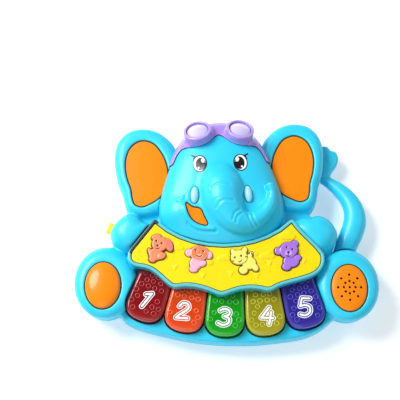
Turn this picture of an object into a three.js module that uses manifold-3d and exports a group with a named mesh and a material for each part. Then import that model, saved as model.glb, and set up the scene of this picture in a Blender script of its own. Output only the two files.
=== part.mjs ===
// Elephant-shaped toy keyboard: a battery-powered baby piano that lies on its back.
// Millimetres. +X is the player's right, +Y runs from the keys to the head, +Z is out of the play face.
// The origin is under the middle of the toy, on the surface it rests on.
import * as THREE from "three";
import { mergeVertices } from "three/addons/utils/BufferGeometryUtils.js";
import Module from "manifold-3d";

const wasm = await Module();
wasm.setup();

// ---------------------------------------------------------------- driving dimensions
const WALL = 2.5; // moulded wall thickness
const GAP = 0.4; // gap between fixed neighbours
const Z_BACK = 3; // outer face of the rear shell, above its rest pads
const Z_PARTING = 20; // where the front and rear shells meet
const Z_APRON = 27; // deck around the keys
const Z_FACE = 30; // plate that carries the head shell
const Z_SHOULDER = 36; // deck that carries the button tray
const Z_EAR = 36; // crest of the ear rims
const Z_FOOT = 40;
const Z_ARM = 46;
const Z_TRAY = 46.5; // top of the tray's rim
const Z_KEY = 35.5; // top face of the keys
const Z_TOP = 90; // above everything

const HEAD = { x: -4, y: 10, tilt: THREE.MathUtils.degToRad(2) }; // the head leans to the left
const FOOT = { left: [-113, -50.5], right: [113.5, -53], rx: 29.5, ry: 34.5, lean: -5.5 };
const SOLE = { left: [-115, -58], right: [114, -60.4], rx: 16.5, ry: 22 };

// The keys spread like a fan about a point behind the head. Radii in mm, angles in degrees.
const FAN = { apex: [10, 171], first: -19.15, pitch: 8.3, nose: 275.5, hinge: 216, apron: 280.5 };
const SHOULDER_RADIUS = 209.5; // the shoulder deck stops here, behind the keys
const KEY = { gap: 1.2, well: 0.9, collar: 2, bottom: 20.5, wall: 2, pivotZ: 27, axle: 1.5, lug: 9 };
const KEY_COLOURS = [0x9e1420, 0xe2501a, 0x18a02a, 0x9a9a10, 0x3c30a8];

const PLATE = { bottom: 43.3, top: 45.5, rim: 3 };
const BUTTON = { bottom: 42.6, top: 48.5, clearance: 0.5, radius: 208, scale: 0.88 };

const BAY = { x: -4, y: 48, length: 58, width: 46, roof: 20.5, wall: 1.5 }; // battery compartment
const DOOR = { width: 62, length: 50, tabY: 20.5, tabWidth: 16, tabLength: 9, thickness: 2.3 };
const CELL = { radius: 7.1, length: 50, pitch: 15, z: 13, shift: 1.2 };
const SWITCH = { x: -106.5, y: 2.5, turn: THREE.MathUtils.degToRad(-20), z: 14.5, travel: 2.5 };
const SCREWS = [
  { at: [-114, -28], roof: 38 },
  { at: [114, -30], roof: 38 },
  { at: [-78, 68], roof: 31.5 },
  { at: [64, 74], roof: 31.5 },
  { at: [-32, -22], roof: 34 },
  { at: [22, -24], roof: 34 },
];
const PADS = [[-112, -54], [112, -57], [-77, 46], [66, 52]];

const FINE = { ear: 28, foot: 24, arm: 18, torso: 40, head: 36 }; // points of each outline

const PLASTIC = {
  blue: 0x38c4f2,
  orange: 0xff9208,
  yellow: 0xfff018,
  purple: 0xb48ae0,
  lavender: 0xddd2f2,
  ivory: 0xd8f4f4,
  black: 0x181818,
};
const METAL = [0xc8ccd0, 0.25, 1];
const BOARD = [0x1f6b3a, 0.5];

// ---------------------------------------------------------------- solids and outlines
const vec = (x, y) => new THREE.Vector2(x, y);
const toPair = (point) => [point.x, point.y];

// A closed geometry as a manifold solid, whichever way round its faces were wound.
function solid(geometry) {
  const plain = new THREE.BufferGeometry();
  plain.setAttribute("position", geometry.getAttribute("position").clone());
  if (geometry.index) plain.setIndex(geometry.index.clone());
  const merged = mergeVertices(plain, 1e-4);
  const triVerts = new Uint32Array(merged.index.array);
  const vertProperties = merged.attributes.position.array;
  const make = () => new wasm.Manifold(new wasm.Mesh({ numProp: 3, vertProperties, triVerts }));
  const first = make();
  if (first.volume() > 0) return first;
  for (let i = 0; i < triVerts.length; i += 3)
    [triVerts[i + 1], triVerts[i + 2]] = [triVerts[i + 2], triVerts[i + 1]];
  return make();
}

function geometryOf(shape) {
  const mesh = shape.getMesh();
  const geometry = new THREE.BufferGeometry();
  geometry.setAttribute("position", new THREE.BufferAttribute(mesh.vertProperties, 3));
  geometry.setIndex(new THREE.BufferAttribute(mesh.triVerts, 1));
  geometry.computeVertexNormals();
  return geometry;
}

const joined = (solids) => solids.reduce((all, next) => all.add(next));
const cutBy = (base, tools) => tools.reduce((left, tool) => left.subtract(tool), base);

function anticlockwise(points) {
  return THREE.ShapeUtils.area(points) > 0 ? points : points.reverse();
}

// A smooth closed outline through hand-placed points.
function smooth(points, divisions) {
  const knots = points.map(([x, y]) => new THREE.Vector3(x, y, 0));
  const curve = new THREE.CatmullRomCurve3(knots, true, "centripetal");
  const spaced = curve.getSpacedPoints(divisions).slice(0, divisions);
  return anticlockwise(spaced.map((p) => vec(p.x, p.y)));
}

function ellipse(x, y, rx, ry, divisions = 24, turn = 0) {
  const curve = new THREE.EllipseCurve(x, y, rx, ry, 0, 2 * Math.PI, false, turn);
  return curve.getPoints(divisions).slice(0, divisions);
}

// The outline moved outwards by a distance, or inwards when it is negative.
function grown(points, distance) {
  const n = points.length;
  return points.map((p, i) => {
    const along = points[(i + 1) % n].clone().sub(points[(i + n - 1) % n]).normalize();
    return vec(p.x + along.y * distance, p.y - along.x * distance);
  });
}

function prism(points, low, high) {
  const options = { depth: high - low, bevelEnabled: false };
  const geometry = new THREE.ExtrudeGeometry(new THREE.Shape(points), options);
  return solid(geometry.translate(0, 0, low));
}

function box(x, y, low, width, length, height) {
  const geometry = new THREE.BoxGeometry(width, length, height);
  return solid(geometry.translate(x, y, low + height / 2));
}

function post(x, y, low, high, radius, around = 14) {
  const geometry = new THREE.CylinderGeometry(radius, radius, high - low, around);
  geometry.rotateX(Math.PI / 2);
  return solid(geometry.translate(x, y, (low + high) / 2));
}

function turned(profile, around) {
  const points = profile.map(([radius, z]) => vec(radius, z));
  return solid(new THREE.LatheGeometry(points, around).rotateX(Math.PI / 2));
}

// A crowned body over an outline. Each ring [share, inset, z] is the outline moved in by the inset,
// scaled by the share about the centre, and slid along Y as it rises when the body leans.
function dome(points, centre, rings, lean = 0) {
  const low = rings[0][2];
  const high = rings[rings.length - 1][2];
  const profile = [[0, 0, low], ...rings, [0, 0, high]];
  const stations = profile.map(([share, , z]) => vec(share, z));
  const geometry = new THREE.LatheGeometry(stations, points.length);
  const position = geometry.getAttribute("position");
  const outlines = profile.map(([, inset]) => grown(points, -inset));
  for (let i = 0; i < position.count; i++) {
    const ring = i % profile.length;
    const point = outlines[ring][Math.floor(i / profile.length) % points.length];
    const [share, , z] = profile[ring];
    const x = centre[0] + share * (point.x - centre[0]);
    const y = centre[1] + share * (point.y - centre[1]) + (lean * (z - low)) / (Z_FOOT - Z_PARTING);
    position.setXYZ(i, x, y, z);
  }
  return solid(geometry);
}

// A closed tube along a curve; halfSizes gives its half width across and half height at each share.
function bentTube(curve, halfSizes, steps, around) {
  const geometry = new THREE.CylinderGeometry(1, 1, 1, around, steps);
  const position = geometry.getAttribute("position");
  const upright = new THREE.Vector3(0, 0, 1);
  for (let i = 0; i < position.count; i++) {
    const share = position.getY(i) + 0.5;
    const [across, up] = halfSizes(share);
    const along = curve.getTangent(share);
    const side = new THREE.Vector3().crossVectors(along, upright).normalize();
    const rise = new THREE.Vector3().crossVectors(side, along);
    const point = curve.getPoint(share);
    point.addScaledVector(side, position.getX(i) * across);
    point.addScaledVector(rise, position.getZ(i) * up);
    position.setXYZ(i, point.x, point.y, point.z);
  }
  return solid(geometry);
}

const route = (points) => new THREE.CatmullRomCurve3(points.map((p) => new THREE.Vector3(...p)));

// Values given at even steps along a tube, joined by straight lines.
function between(values, share) {
  const at = Math.min(share, 0.9999) * (values.length - 1);
  const step = Math.floor(at);
  return THREE.MathUtils.lerp(values[step], values[step + 1], at - step);
}

// ---------------------------------------------------------------- frames of the head and the keys
function fromHead([x, y]) {
  const point = vec(x, y).rotateAround(vec(0, 0), HEAD.tilt);
  return vec(point.x + HEAD.x, point.y + HEAD.y);
}

const toHead = (point) =>
  vec(point.x - HEAD.x, point.y - HEAD.y).rotateAround(vec(0, 0), -HEAD.tilt);
const inBody = (points) => points.map((p) => fromHead([p.x, p.y]));
const mirrored = (points) => points.map((p) => vec(-p.x, p.y)).reverse();

const KEYS = [0, 1, 2, 3, 4];
const keyAngle = (index) => THREE.MathUtils.degToRad(FAN.first + index * FAN.pitch);
const FAN_START = FAN.first - FAN.pitch / 2;
const FAN_END = FAN.first + (KEYS.length - 0.5) * FAN.pitch;

function onFan(radius, angle) {
  return vec(FAN.apex[0] + radius * Math.sin(angle), FAN.apex[1] - radius * Math.cos(angle));
}

// A point of a key's own frame, whose origin is on the pivot and whose nose points along -Y.
function fromKey(index, point) {
  const angle = keyAngle(index);
  return point.clone().rotateAround(vec(0, 0), angle).add(onFan(FAN.hinge, angle));
}

// A plate between two radii and two angles of the fan.
function fanSector(inner, outer, from, to, low, high, curveSegments = 10) {
  const start = THREE.MathUtils.degToRad(from - 90);
  const end = THREE.MathUtils.degToRad(to - 90);
  const shape = new THREE.Shape();
  shape.absarc(...FAN.apex, outer, start, end, false);
  shape.absarc(...FAN.apex, inner, end, start, true);
  const options = { depth: high - low, bevelEnabled: false, curveSegments };
  return solid(new THREE.ExtrudeGeometry(shape, options).translate(0, 0, low));
}

// ---------------------------------------------------------------- outlines
const ear = (divisions) =>
  smooth(
    [
      [43, 75], [52, 86], [62, 92.3], [75, 94.6], [88, 91.5], [97.5, 82], [101.5, 68], [101, 53],
      [98.5, 39.5], [94.5, 29], [92.8, 19.5], [90.5, 11.5], [84, 5.3], [73, 3.8], [60, 6.5],
      [44, 15], [36, 45],
    ],
    divisions,
  );
const earInsert = smooth(
  [
    [74, 80.1], [84, 75.3], [89.5, 65.2], [91, 52.8], [89, 40.3], [86, 30.7], [85, 22.5],
    [82.5, 15.3], [76, 12.6], [68, 15.3], [58, 22], [52.5, 32.6], [50, 45.1], [52, 58],
    [56.5, 68.1], [63.5, 76.8],
  ],
  32,
);
const halfHead = [
  [12, 92.4], [24, 87.5], [34.5, 78.3], [42, 65.8], [47, 53.4], [51, 41.8], [55.5, 27.4],
  [59.3, 11.1], [58.5, -2.4], [53.5, -12.4], [45, -21.1], [31, -28.3], [15, -32.1],
];
const head = (divisions) =>
  smooth([[0, 93.7], ...halfHead, [0, -33.1], ...halfHead.map(([x, y]) => [-x, y]).reverse()], divisions);
const HEAD_CENTRE = [0, 30];

const ARM_POINTS = {
  left: [
    [-66, 0], [-77, 5], [-85, 11.5], [-94, 13.6], [-104, 6], [-110, -5.4], [-105.5, -18.6],
    [-95, -25], [-84, -22],
  ],
  right: [
    [60, 0], [69.2, 9], [78, 9.8], [88.5, 12.2], [98.4, 7.5], [104.5, -1.1], [106, -8],
    [100, -21.5], [89, -28], [78, -22],
  ],
};
const ARM_CENTRES = { left: [-90, -5], right: [86, -7] };

// The body behind the tray, and the apron below the keys.
function torso(divisions) {
  const apron = [-21, -14, -7, 0, 7, 14].map((degrees) =>
    toPair(onFan(FAN.apron, THREE.MathUtils.degToRad(degrees))),
  );
  const points = [
    [-92, 2], [-100, -30], [-104, -60], [-101, -80], ...apron, [95, -90.5], [104, -80], [104, -60],
    [100, -30], [92, 2], [60, 28], [0, 38], [-60, 28],
  ];
  return smooth(points, divisions);
}

// The scalloped plate of animal buttons: a hollow top edge under the chin, and three soft points
// between the scallops of its lower edge.
function plateOutline() {
  const shape = new THREE.Shape();
  shape.moveTo(-66.9, 1.1);
  shape.lineTo(-88, -26.5);
  shape.quadraticCurveTo(-92.5, -37.5, -80, -38.8);
  shape.bezierCurveTo(-66, -40, -60, -50, -51.5, -56.5);
  shape.quadraticCurveTo(-48.5, -59, -45, -58);
  shape.bezierCurveTo(-32, -55.5, -20, -59.5, -8, -64.7);
  shape.quadraticCurveTo(-4.5, -66, -1, -64.7);
  shape.bezierCurveTo(11, -59.5, 23, -57.5, 36, -61);
  shape.quadraticCurveTo(39.5, -61.9, 42.5, -60);
  shape.bezierCurveTo(51, -54.5, 63, -53.5, 77, -48.4);
  shape.quadraticCurveTo(90, -43, 88, -30.5);
  shape.bezierCurveTo(82, -20, 70, -12, 61.6, 1.1);
  shape.bezierCurveTo(30, -30.6, -35, -30.6, -66.9, 1.1);
  return anticlockwise(shape.getPoints(5).slice(0, -1));
}
const plate = plateOutline();
const tray = grown(plate, PLATE.rim);

// A key seen from above, in its own frame: straight sides that follow the fan, and a round nose.
function keyOutline() {
  const spread = Math.tan(THREE.MathUtils.degToRad(FAN.pitch / 2));
  const half = (y) => (FAN.hinge - y) * spread - KEY.gap / 2;
  const rear = 5;
  const shoulder = -41;
  const nose = FAN.hinge - FAN.nose;
  const shape = new THREE.Shape();
  shape.moveTo(half(rear), rear);
  shape.lineTo(-half(rear), rear);
  shape.lineTo(-half(shoulder), shoulder);
  shape.bezierCurveTo(-half(nose), nose + 4, -half(nose) * 0.55, nose, 0, nose);
  shape.bezierCurveTo(half(nose) * 0.55, nose, half(nose), nose + 4, half(shoulder), shoulder);
  return anticlockwise(shape.getPoints(6).slice(0, -1));
}
const key = keyOutline();
const keyHole = (index, margin, low, high) =>
  prism(grown(key, margin).map((p) => fromKey(index, p)), low, high);

const sides = ["left", "right"];
const signOf = (side) => (side === "left" ? -1 : 1);
const earOf = (side, divisions) => inBody(side === "left" ? mirrored(ear(divisions)) : ear(divisions));
const footOf = (side, divisions) => ellipse(...FOOT[side], FOOT.rx, FOOT.ry, divisions);
const armOf = (side, divisions) => smooth(ARM_POINTS[side], divisions);
const earCentre = (side) => toPair(fromHead([signOf(side) * 73, 48]));
const insertOf = (side) => (side === "left" ? mirrored(earInsert) : earInsert);

// ---------------------------------------------------------------- front housing
const straight = (inset, low, high) => [[1, inset, low], [1, inset, high]];
const crown = (high) => [
  [1, 0, Z_PARTING],
  [1, 0, high - 9],
  [1, 1.3, high - 4.6],
  [1, 4, high - 1.2],
  [1, 8, high],
];

const HEAD_RINGS = [
  [1, 31], [1, 36], [0.985, 42], [0.95, 47.5], [0.88, 52.5], [0.77, 56.4], [0.6, 59.2],
  [0.38, 60.6], [0.18, 61],
];
function headBody(growth, divisions = FINE.head) {
  const rings = HEAD_RINGS.map(([share, z], i) => [share, -growth, i ? z + growth : Z_FACE + 0.3]);
  return dome(head(divisions), HEAD_CENTRE, rings);
}

function shoulderBody(inward, low, high) {
  const front = fanSector(
    SHOULDER_RADIUS - inward, 320, FAN_START - 0.9 - inward * 0.3, FAN_END + 0.9 + inward * 0.3,
    0, Z_TOP,
  );
  return prism(grown(tray, -inward), low, high).subtract(front);
}

function frontForm() {
  const bodies = sides.flatMap((side) => [
    dome(earOf(side, FINE.ear), earCentre(side), crown(Z_EAR)),
    dome(footOf(side, FINE.foot), FOOT[side], crown(Z_FOOT), FOOT.lean),
    dome(armOf(side, FINE.arm), ARM_CENTRES[side], [
      [1, 0, Z_PARTING], [1, 0, 26], [0.96, 0, 33], [0.85, 0, 39.5], [0.64, 0, 44], [0.3, 0, Z_ARM],
    ]),
  ]);
  bodies.push(prism(torso(FINE.torso), Z_PARTING, Z_APRON));
  bodies.push(prism(inBody(head(FINE.head)), Z_PARTING, Z_FACE));
  bodies.push(shoulderBody(0, Z_PARTING, Z_SHOULDER));
  return joined(bodies);
}

// The room inside the front shell.
function frontHollow() {
  const low = Z_PARTING - 5;
  const bodies = sides.flatMap((side) => [
    dome(earOf(side, 20), earCentre(side), straight(WALL + 0.6, low, 30.8)),
    dome(footOf(side, 16), FOOT[side], [[1, 3.2, low], [1, 3.2, 30], [1, 8, 37]], FOOT.lean),
    dome(armOf(side, 14), ARM_CENTRES[side], [[0.88, 0, low], [0.88, 0, 29], [0.7, 0, 36.5], [0.3, 0, 42]]),
  ]);
  bodies.push(prism(grown(torso(30), -WALL - 0.3), low, Z_APRON - WALL));
  bodies.push(prism(inBody(grown(head(24), -WALL)), low, Z_FACE - WALL));
  bodies.push(shoulderBody(WALL, low, Z_SHOULDER - WALL));
  const collars = KEYS.map((index) => keyHole(index, KEY.well + KEY.collar, Z_PARTING, Z_TOP));
  return cutBy(joined(bodies), collars);
}

function frontHousing() {
  const headRoom = prism(inBody(grown(head(FINE.head), GAP)), Z_FACE, Z_TOP);
  const trayRoom = prism(grown(tray, GAP), Z_SHOULDER, Z_TOP);
  const below = box(0, 0, -40, 400, 400, 40 + Z_PARTING);
  const shell = cutBy(frontForm(), [frontHollow(), headRoom, trayRoom, below]);
  const bosses = SCREWS.map(({ at, roof }) => post(...at, Z_PARTING + 0.2, roof, 4.2, 12));
  const cuts = SCREWS.map(({ at, roof }) => post(...at, 0, Math.min(roof - 1, 30), 1.6, 8));
  KEYS.forEach((index) => cuts.push(keyHole(index, KEY.well, 10, Z_TOP)));
  const pivotRoom = [SHOULDER_RADIUS + 0.3, FAN.hinge + 6, FAN_START - 0.5, FAN_END + 0.5];
  cuts.push(fanSector(...pivotRoom, 15, Z_SHOULDER + 1));
  sides.forEach((side) => {
    cuts.push(prism(inBody(grown(insertOf(side), GAP)), Z_EAR - 3, 60));
    cuts.push(prism(ellipse(...SOLE[side], SOLE.rx + GAP, SOLE.ry + GAP, 24), 32, 60));
  });
  cuts.push(prism(ellipse(-4, -26, 5, 3, 10), 20, 50)); // for the tray's wires
  cuts.push(prism(ellipse(-4, 40, 16, 12, 12), 20, 50)); // for the head's wires
  return cutBy(joined([shell, ...bosses]), cuts);
}

// ---------------------------------------------------------------- rear housing
const rearRings = [
  [1, 4.5, Z_BACK],
  [1, 1, 6.4],
  [1, 0, 11],
  [1, 0, Z_PARTING - 0.3],
];
const rearHollowRings = [
  [1, 7, Z_BACK + WALL],
  [1, 3, 10],
  [1, WALL + 0.1, Z_PARTING + 1],
];

function rearForm(rings, share) {
  const at = (divisions) => Math.round(divisions * share);
  return joined([
    ...sides.map((side) => dome(earOf(side, at(FINE.ear)), earCentre(side), rings)),
    ...sides.map((side) => dome(footOf(side, at(FINE.foot)), FOOT[side], rings)),
    ...sides.map((side) => dome(armOf(side, at(FINE.arm)), ARM_CENTRES[side], rings)),
    dome(torso(at(FINE.torso)), [0, -45], rings),
    dome(inBody(head(at(FINE.head))), toPair(fromHead(HEAD_CENTRE)), rings),
  ]);
}

function atSwitch(x, y, low, width, length, height) {
  const geometry = new THREE.BoxGeometry(width, length, height);
  geometry.translate(x, y, low + height / 2).rotateZ(SWITCH.turn);
  return solid(geometry.translate(SWITCH.x, SWITCH.y, 0));
}

function doorBody(growth) {
  const height = 5 + Z_BACK + DOOR.thickness;
  return joined([
    box(BAY.x, BAY.y, -5, DOOR.width + growth, DOOR.length + growth, height),
    box(BAY.x, DOOR.tabY, -5, DOOR.tabWidth + growth, DOOR.tabLength + growth, height),
  ]);
}

function rearHousing() {
  const shell = rearForm(rearRings, 1).subtract(rearForm(rearHollowRings, 0.6));
  const floor = Z_BACK + 1;
  const bosses = SCREWS.map(({ at }) => post(...at, floor, Z_PARTING - 0.4, 5.4, 12));
  const pads = PADS.map(([x, y]) => post(x, y, 0, floor + 1, 9, 20));
  const supports = [-18, -3, 12].flatMap((degrees) => {
    const angle = THREE.MathUtils.degToRad(degrees);
    return [
      post(...toPair(onFan(256, angle)), floor, 7.6, 3, 8),
      post(...toPair(onFan(FAN.hinge, angle)), floor, 16.6, 3, 8),
    ];
  });
  [-26, 18].forEach((x) => [-11, 8].forEach((y) => supports.push(post(x, y, floor, 9.6, 2.5, 8))));
  supports.push(post(...SOLE.left, floor, 25.6, 5, 10));
  supports.push(post(SOLE.right[0], SOLE.right[1] + 3, floor, 17.2, 7, 12));
  supports.push(atSwitch(8, 0, floor, 5, 8, 7));
  const bay = box(BAY.x, BAY.y, floor, BAY.length + 2 * BAY.wall, BAY.width + 2 * BAY.wall, BAY.roof - 2.5);
  const doorBoss = post(BAY.x, DOOR.tabY - 0.5, floor, 15, 4.2, 12);
  const ledge = box(BAY.x, BAY.y - 3, floor, DOOR.width + 3, DOOR.length + 9, 4);
  const whole = joined([shell, ...bosses, ...pads, ...supports, bay, doorBoss, ledge]);
  const cuts = SCREWS.flatMap(({ at }) => [post(...at, -1, 11, 3.5, 10), post(...at, 10, 30, 1.8, 8)]);
  cuts.push(box(BAY.x, BAY.y, -1, BAY.length, BAY.width, 1 + BAY.roof));
  cuts.push(doorBody(2 * GAP));
  cuts.push(post(BAY.x, DOOR.tabY - 0.5, 2, 13, 1.3, 8));
  cuts.push(atSwitch(-1, 0, SWITCH.z - 3.4, 14, 11 + 2 * SWITCH.travel + 1, 20));
  cuts.push(atSwitch(8, 0, SWITCH.z - 3.3, 7, 22, 20));
  return cutBy(whole, cuts);
}

function batteryDoor() {
  const outside = box(0, 0, -20, 300, 300, 20 + Z_BACK);
  const hole = post(BAY.x, DOOR.tabY - 0.5, -1, 8, 1.8, 10);
  const recess = post(BAY.x, DOOR.tabY - 0.5, -1, Z_BACK + 1.3, 3.1, 12);
  const grips = [0, 1, 2].map((i) => box(BAY.x, 66 - 3 * i, 2, 18, 1.2, 1.6));
  return cutBy(doorBody(0), [outside, hole, recess, ...grips]);
}

// ---------------------------------------------------------------- head pieces, in the head's frame
const trunkRoute = route([
  [0, 40.3, 47], [0, 26.8, 51.5], [0.5, 13.4, 52], [6, -0.1, 50.5], [19, -8.7, 49], [32, -6.8, 49.5],
  [40.5, 3.8, 52], [44, 17.2, 54], [44.8, 24, 55],
]);
const TRUNK_ACROSS = [13, 19.5, 20, 18.5, 15, 11.5, 8.6, 6.4, 6.8];
const TRUNK_UP = [10, 16.5, 18.5, 17.5, 14.5, 11.5, 8.6, 6.4, 6.8];
function trunkBody(inward, steps = 20, around = 14) {
  const sizes = (share) => [between(TRUNK_ACROSS, share) - inward, between(TRUNK_UP, share) - inward];
  return bentTube(trunkRoute, sizes, steps, around);
}

// A layer that follows the crown of the head between two offsets, inside an outline.
const inlay = (outline, low, high) =>
  prism(outline, Z_FACE, Z_TOP).intersect(headBody(high).subtract(headBody(low)));

const eye = (side, growth) => ellipse(side * 19.2, 47, 6.8 + growth, 8.7 + growth, 20);
const tusk = (side, growth) => ellipse(side * 25.2, 16, 3.9 + growth, 8.2 + growth, 16, side * 0.08);
const mouth = smooth(
  [
    [-33.5, 9.2], [-28, 5.2], [-20.5, 2.9], [-17, -4.3], [-14, -12.4], [-20.5, -11.7], [-28, -6.9],
    [-32.2, 0.5],
  ],
  24,
);
const halfStrap = [
  [14, 97], [28, 93.5], [39, 83.5], [45, 72.5], [49.5, 60.5], [51.6, 50.9], [48, 49.7],
  [43.5, 57], [38.5, 64.2], [30, 68.6], [18, 70.5], [9, 74.8],
];
const strapOutline = smooth(
  [[0, 97], ...halfStrap, [0, 80.1], ...halfStrap.map(([x, y]) => [-x, y]).reverse()],
  48,
);

// The cups of the goggles lean back from the brow and a little outwards.
const CUP = { x: 20.3, y: 79.4, z: 57, lean: -0.52, splay: 0.3 };
function onCup(side, profile, around) {
  const points = profile.map(([radius, z]) => vec(radius, z));
  const geometry = new THREE.LatheGeometry(points, around).rotateX(Math.PI / 2);
  geometry.rotateX(CUP.lean).rotateZ(-side * CUP.splay).translate(side * CUP.x, CUP.y, CUP.z);
  return solid(geometry);
}
const CUP_BODY = [[0, -14], [12.6, -14], [13.8, 0], [13.5, 1.6], [12.6, 2.4], [11.5, 2.4], [0, 2.4]];
const CUP_RECESS = [[0, -1.4], [10.8, -1.4], [11.2, 4], [0, 4]];
const CUP_LENS = [[0, -1], [10.4, -1], [10.4, 0.3], [7.6, 1.2], [4, 1.7], [0, 1.9]];

function headShell() {
  const trayRoom = prism(grown(tray, 2 * GAP).map(toHead), Z_FACE, Z_TOP);
  const above = box(0, 0, Z_FACE + 0.3, 300, 300, 60);
  const outer = headBody(0).add(trunkBody(0)).intersect(above);
  const room = dome(head(20), HEAD_CENTRE, [
    [1, WALL, Z_FACE], [1, WALL + 0.5, 38], [0.93, WALL, 46], [0.8, WALL, 53], [0.5, WALL, 57.6],
  ]);
  const trunkRoom = trunkBody(WALL + 0.5, 9, 8).intersect(prism(ellipse(2, 14, 26, 30, 12), 30, Z_TOP));
  const pockets = [-1, 1].flatMap((side) => [
    inlay(eye(side, 0.3), -1.3, 6),
    inlay(tusk(side, 0.3), -1.3, 9),
  ]);
  pockets.push(inlay(grown(mouth, 0.3), -1.8, 4));
  return cutBy(outer, [room, trunkRoom, trayRoom, ...pockets]);
}

function goggleFrame() {
  const cups = [-1, 1].map((side) => onCup(side, CUP_BODY, 20));
  const recesses = [-1, 1].map((side) => onCup(side, CUP_RECESS, 18));
  const whole = joined([prism(strapOutline, Z_FACE, Z_TOP).intersect(headBody(1.9)), ...cups]);
  return cutBy(whole, [headBody(0.3), box(0, 0, 0, 300, 300, Z_EAR + 1.5), ...recesses]);
}

// ---------------------------------------------------------------- buttons and their tray
// Each animal is a group of overlapping ovals: [x, y, half width, half height, turn].
const ANIMALS = {
  dog: {
    angle: -20.2,
    colour: 0xf59a6a,
    ovals: [
      [-0.5, 4.5, 8.6, 8.4, 0], [-4.2, 12.2, 5.4, 3.4, 0.3], [9.2, 3.4, 4.4, 7.6, 0.35],
      [-4.5, -6.5, 7.8, 7, 0], [-7.8, -12, 4.2, 3.6, 0], [1.6, -8.4, 5, 3.8, 0.4],
      [-10.8, -3.5, 2.6, 4.4, 0.3],
    ],
  },
  monkey: {
    angle: -9.9,
    colour: 0xf5aa92,
    ovals: [
      [0.5, 5.6, 10.2, 8.4, 0], [-10.3, 6.4, 4.2, 4.4, 0], [10.8, 3.6, 3.8, 4.4, 0],
      [-3.4, -5.5, 6.4, 7, 0], [-5.4, -12, 4.6, 3.2, 0], [3.4, -5.6, 5, 3.4, 0.3],
    ],
  },
  cat: {
    angle: 1.7,
    colour: 0xf8f080,
    ovals: [
      [-5, 4.3, 9.2, 8.2, 0.1], [-11, 9.8, 2.8, 4.6, 0.35], [0.6, 11.6, 3.2, 4.6, -0.35],
      [5.4, -1.6, 8, 7.2, -0.3], [-0.6, -9.4, 5, 4.6, 0], [11.8, -6.6, 3.6, 4.6, 0.5],
      [6.4, 6, 2.8, 5.6, -0.5],
    ],
  },
  bear: {
    angle: 13.2,
    colour: 0xa878dc,
    ovals: [
      [0.4, 6.2, 10, 9, 0.3], [-10.6, 5.2, 4, 4.4, 0.3], [7.2, 13.4, 4, 4, 0],
      [3, -5.6, 8.6, 7, 0], [-2, -11.6, 5, 4.4, 0], [10, -2, 4, 3.6, 0.4],
    ],
  },
};
const buttonAt = ({ angle }) => toPair(onFan(BUTTON.radius, THREE.MathUtils.degToRad(angle)));

function animalBody(ovals, growth, low, high) {
  const k = BUTTON.scale;
  const parts = ovals.map(([x, y, rx, ry, turn]) =>
    prism(ellipse(k * x, k * y, k * rx + growth, k * ry + growth, 11, turn), low, high),
  );
  return joined(parts);
}

function musicPanel() {
  const holes = Object.values(ANIMALS).map((animal) =>
    animalBody(animal.ovals, BUTTON.clearance, 40, 50).translate(...buttonAt(animal), 0),
  );
  return cutBy(prism(grown(plate, -GAP), PLATE.bottom, PLATE.top), holes);
}

function panelTray() {
  const floor = Z_SHOULDER + 0.3;
  const shell = dome(tray, [0, -40], [[1, 0, floor], [1, 0, Z_TRAY - 1], [1, 0.9, Z_TRAY]]);
  const recess = prism(plate, PLATE.bottom - 0.3, 60);
  const hollow = prism(grown(plate, -1.3), floor + 1.6, 60);
  const wires = prism(ellipse(-4, -26, 5, 3, 10), 20, 60);
  return cutBy(shell, [recess, hollow, wires]);
}

function buttonPad() {
  const bumps = Object.values(ANIMALS).map((animal) => post(...buttonAt(animal), 40.6, 41.1, 4.5, 10));
  return joined([fanSector(201, 216, -23.4, 16.4, 40, 40.7), ...bumps]);
}

// ---------------------------------------------------------------- keys
function keyBody() {
  const outer = dome(key, [0, -26], [
    [1, 0, KEY.bottom],
    [1, 0, Z_KEY - 2.6],
    [1, 0.8, Z_KEY - 0.9],
    [1, 2.4, Z_KEY],
  ]);
  const inside = prism(grown(key, -KEY.wall), 0, Z_KEY - 2.2);
  const plunger = post(0, -32, 16.4, Z_KEY - 1, 3, 10);
  const lugLow = KEY.pivotZ - 3.6;
  const lug = box(0, 0, lugLow, 2 * KEY.lug, 7.2, Z_KEY - 1 - lugLow);
  const bore = new THREE.CylinderGeometry(KEY.axle + 0.2, KEY.axle + 0.2, 60, 12);
  const notches = [-1, 1].map((side) => box(side * 20, 1, 0, 21, 12, Z_KEY - 1.6));
  const rear = box(0, 6.5, 0, 60, 6, KEY.pivotZ + 3);
  return cutBy(joined([outer.subtract(inside), plunger, lug]), [
    solid(bore.rotateZ(Math.PI / 2).translate(0, 0, KEY.pivotZ)),
    ...notches,
    rear,
  ]);
}

// One rail behind the keys, with a short axle for each key held between two posts.
function keyBracket() {
  const bodies = [fanSector(FAN.hinge - 4.5, FAN.hinge + 3.5, FAN_START + 0.5, FAN_END - 0.5, 17, 20)];
  KEYS.forEach((index) => {
    const pivot = onFan(FAN.hinge, keyAngle(index));
    const pieces = [-1, 1].map((side) => new THREE.BoxGeometry(2.6, 5, 11).translate(side * 11.6, 0, 24.6));
    const axle = new THREE.CylinderGeometry(KEY.axle, KEY.axle, 24, 10);
    pieces.push(axle.rotateZ(Math.PI / 2).translate(0, 0, KEY.pivotZ));
    pieces.forEach((piece) => {
      bodies.push(solid(piece.rotateZ(keyAngle(index)).translate(pivot.x, pivot.y, 0)));
    });
  });
  return joined(bodies);
}

// A strip under the keys with one turned shape standing on it under each key.
function keyRow(inner, outer, radius, low, thickness, profile, around) {
  const strip = fanSector(inner, outer, FAN_START + 1.5, FAN_END - 1.5, low, low + thickness);
  const shapes = KEYS.map((index) =>
    turned(profile, around).translate(...toPair(onFan(radius, keyAngle(index))), low + thickness - 0.2),
  );
  return joined([strip, ...shapes]);
}
const DOMED_PAD = [[0, 0], [6, 0], [5, 2.4], [3.4, 3.4], [0, 3.4]];
const LED_BULB = [[0, 0], [2.5, 0], [2.5, 2.6], [1.6, 4.3], [0, 4.8]];

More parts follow.
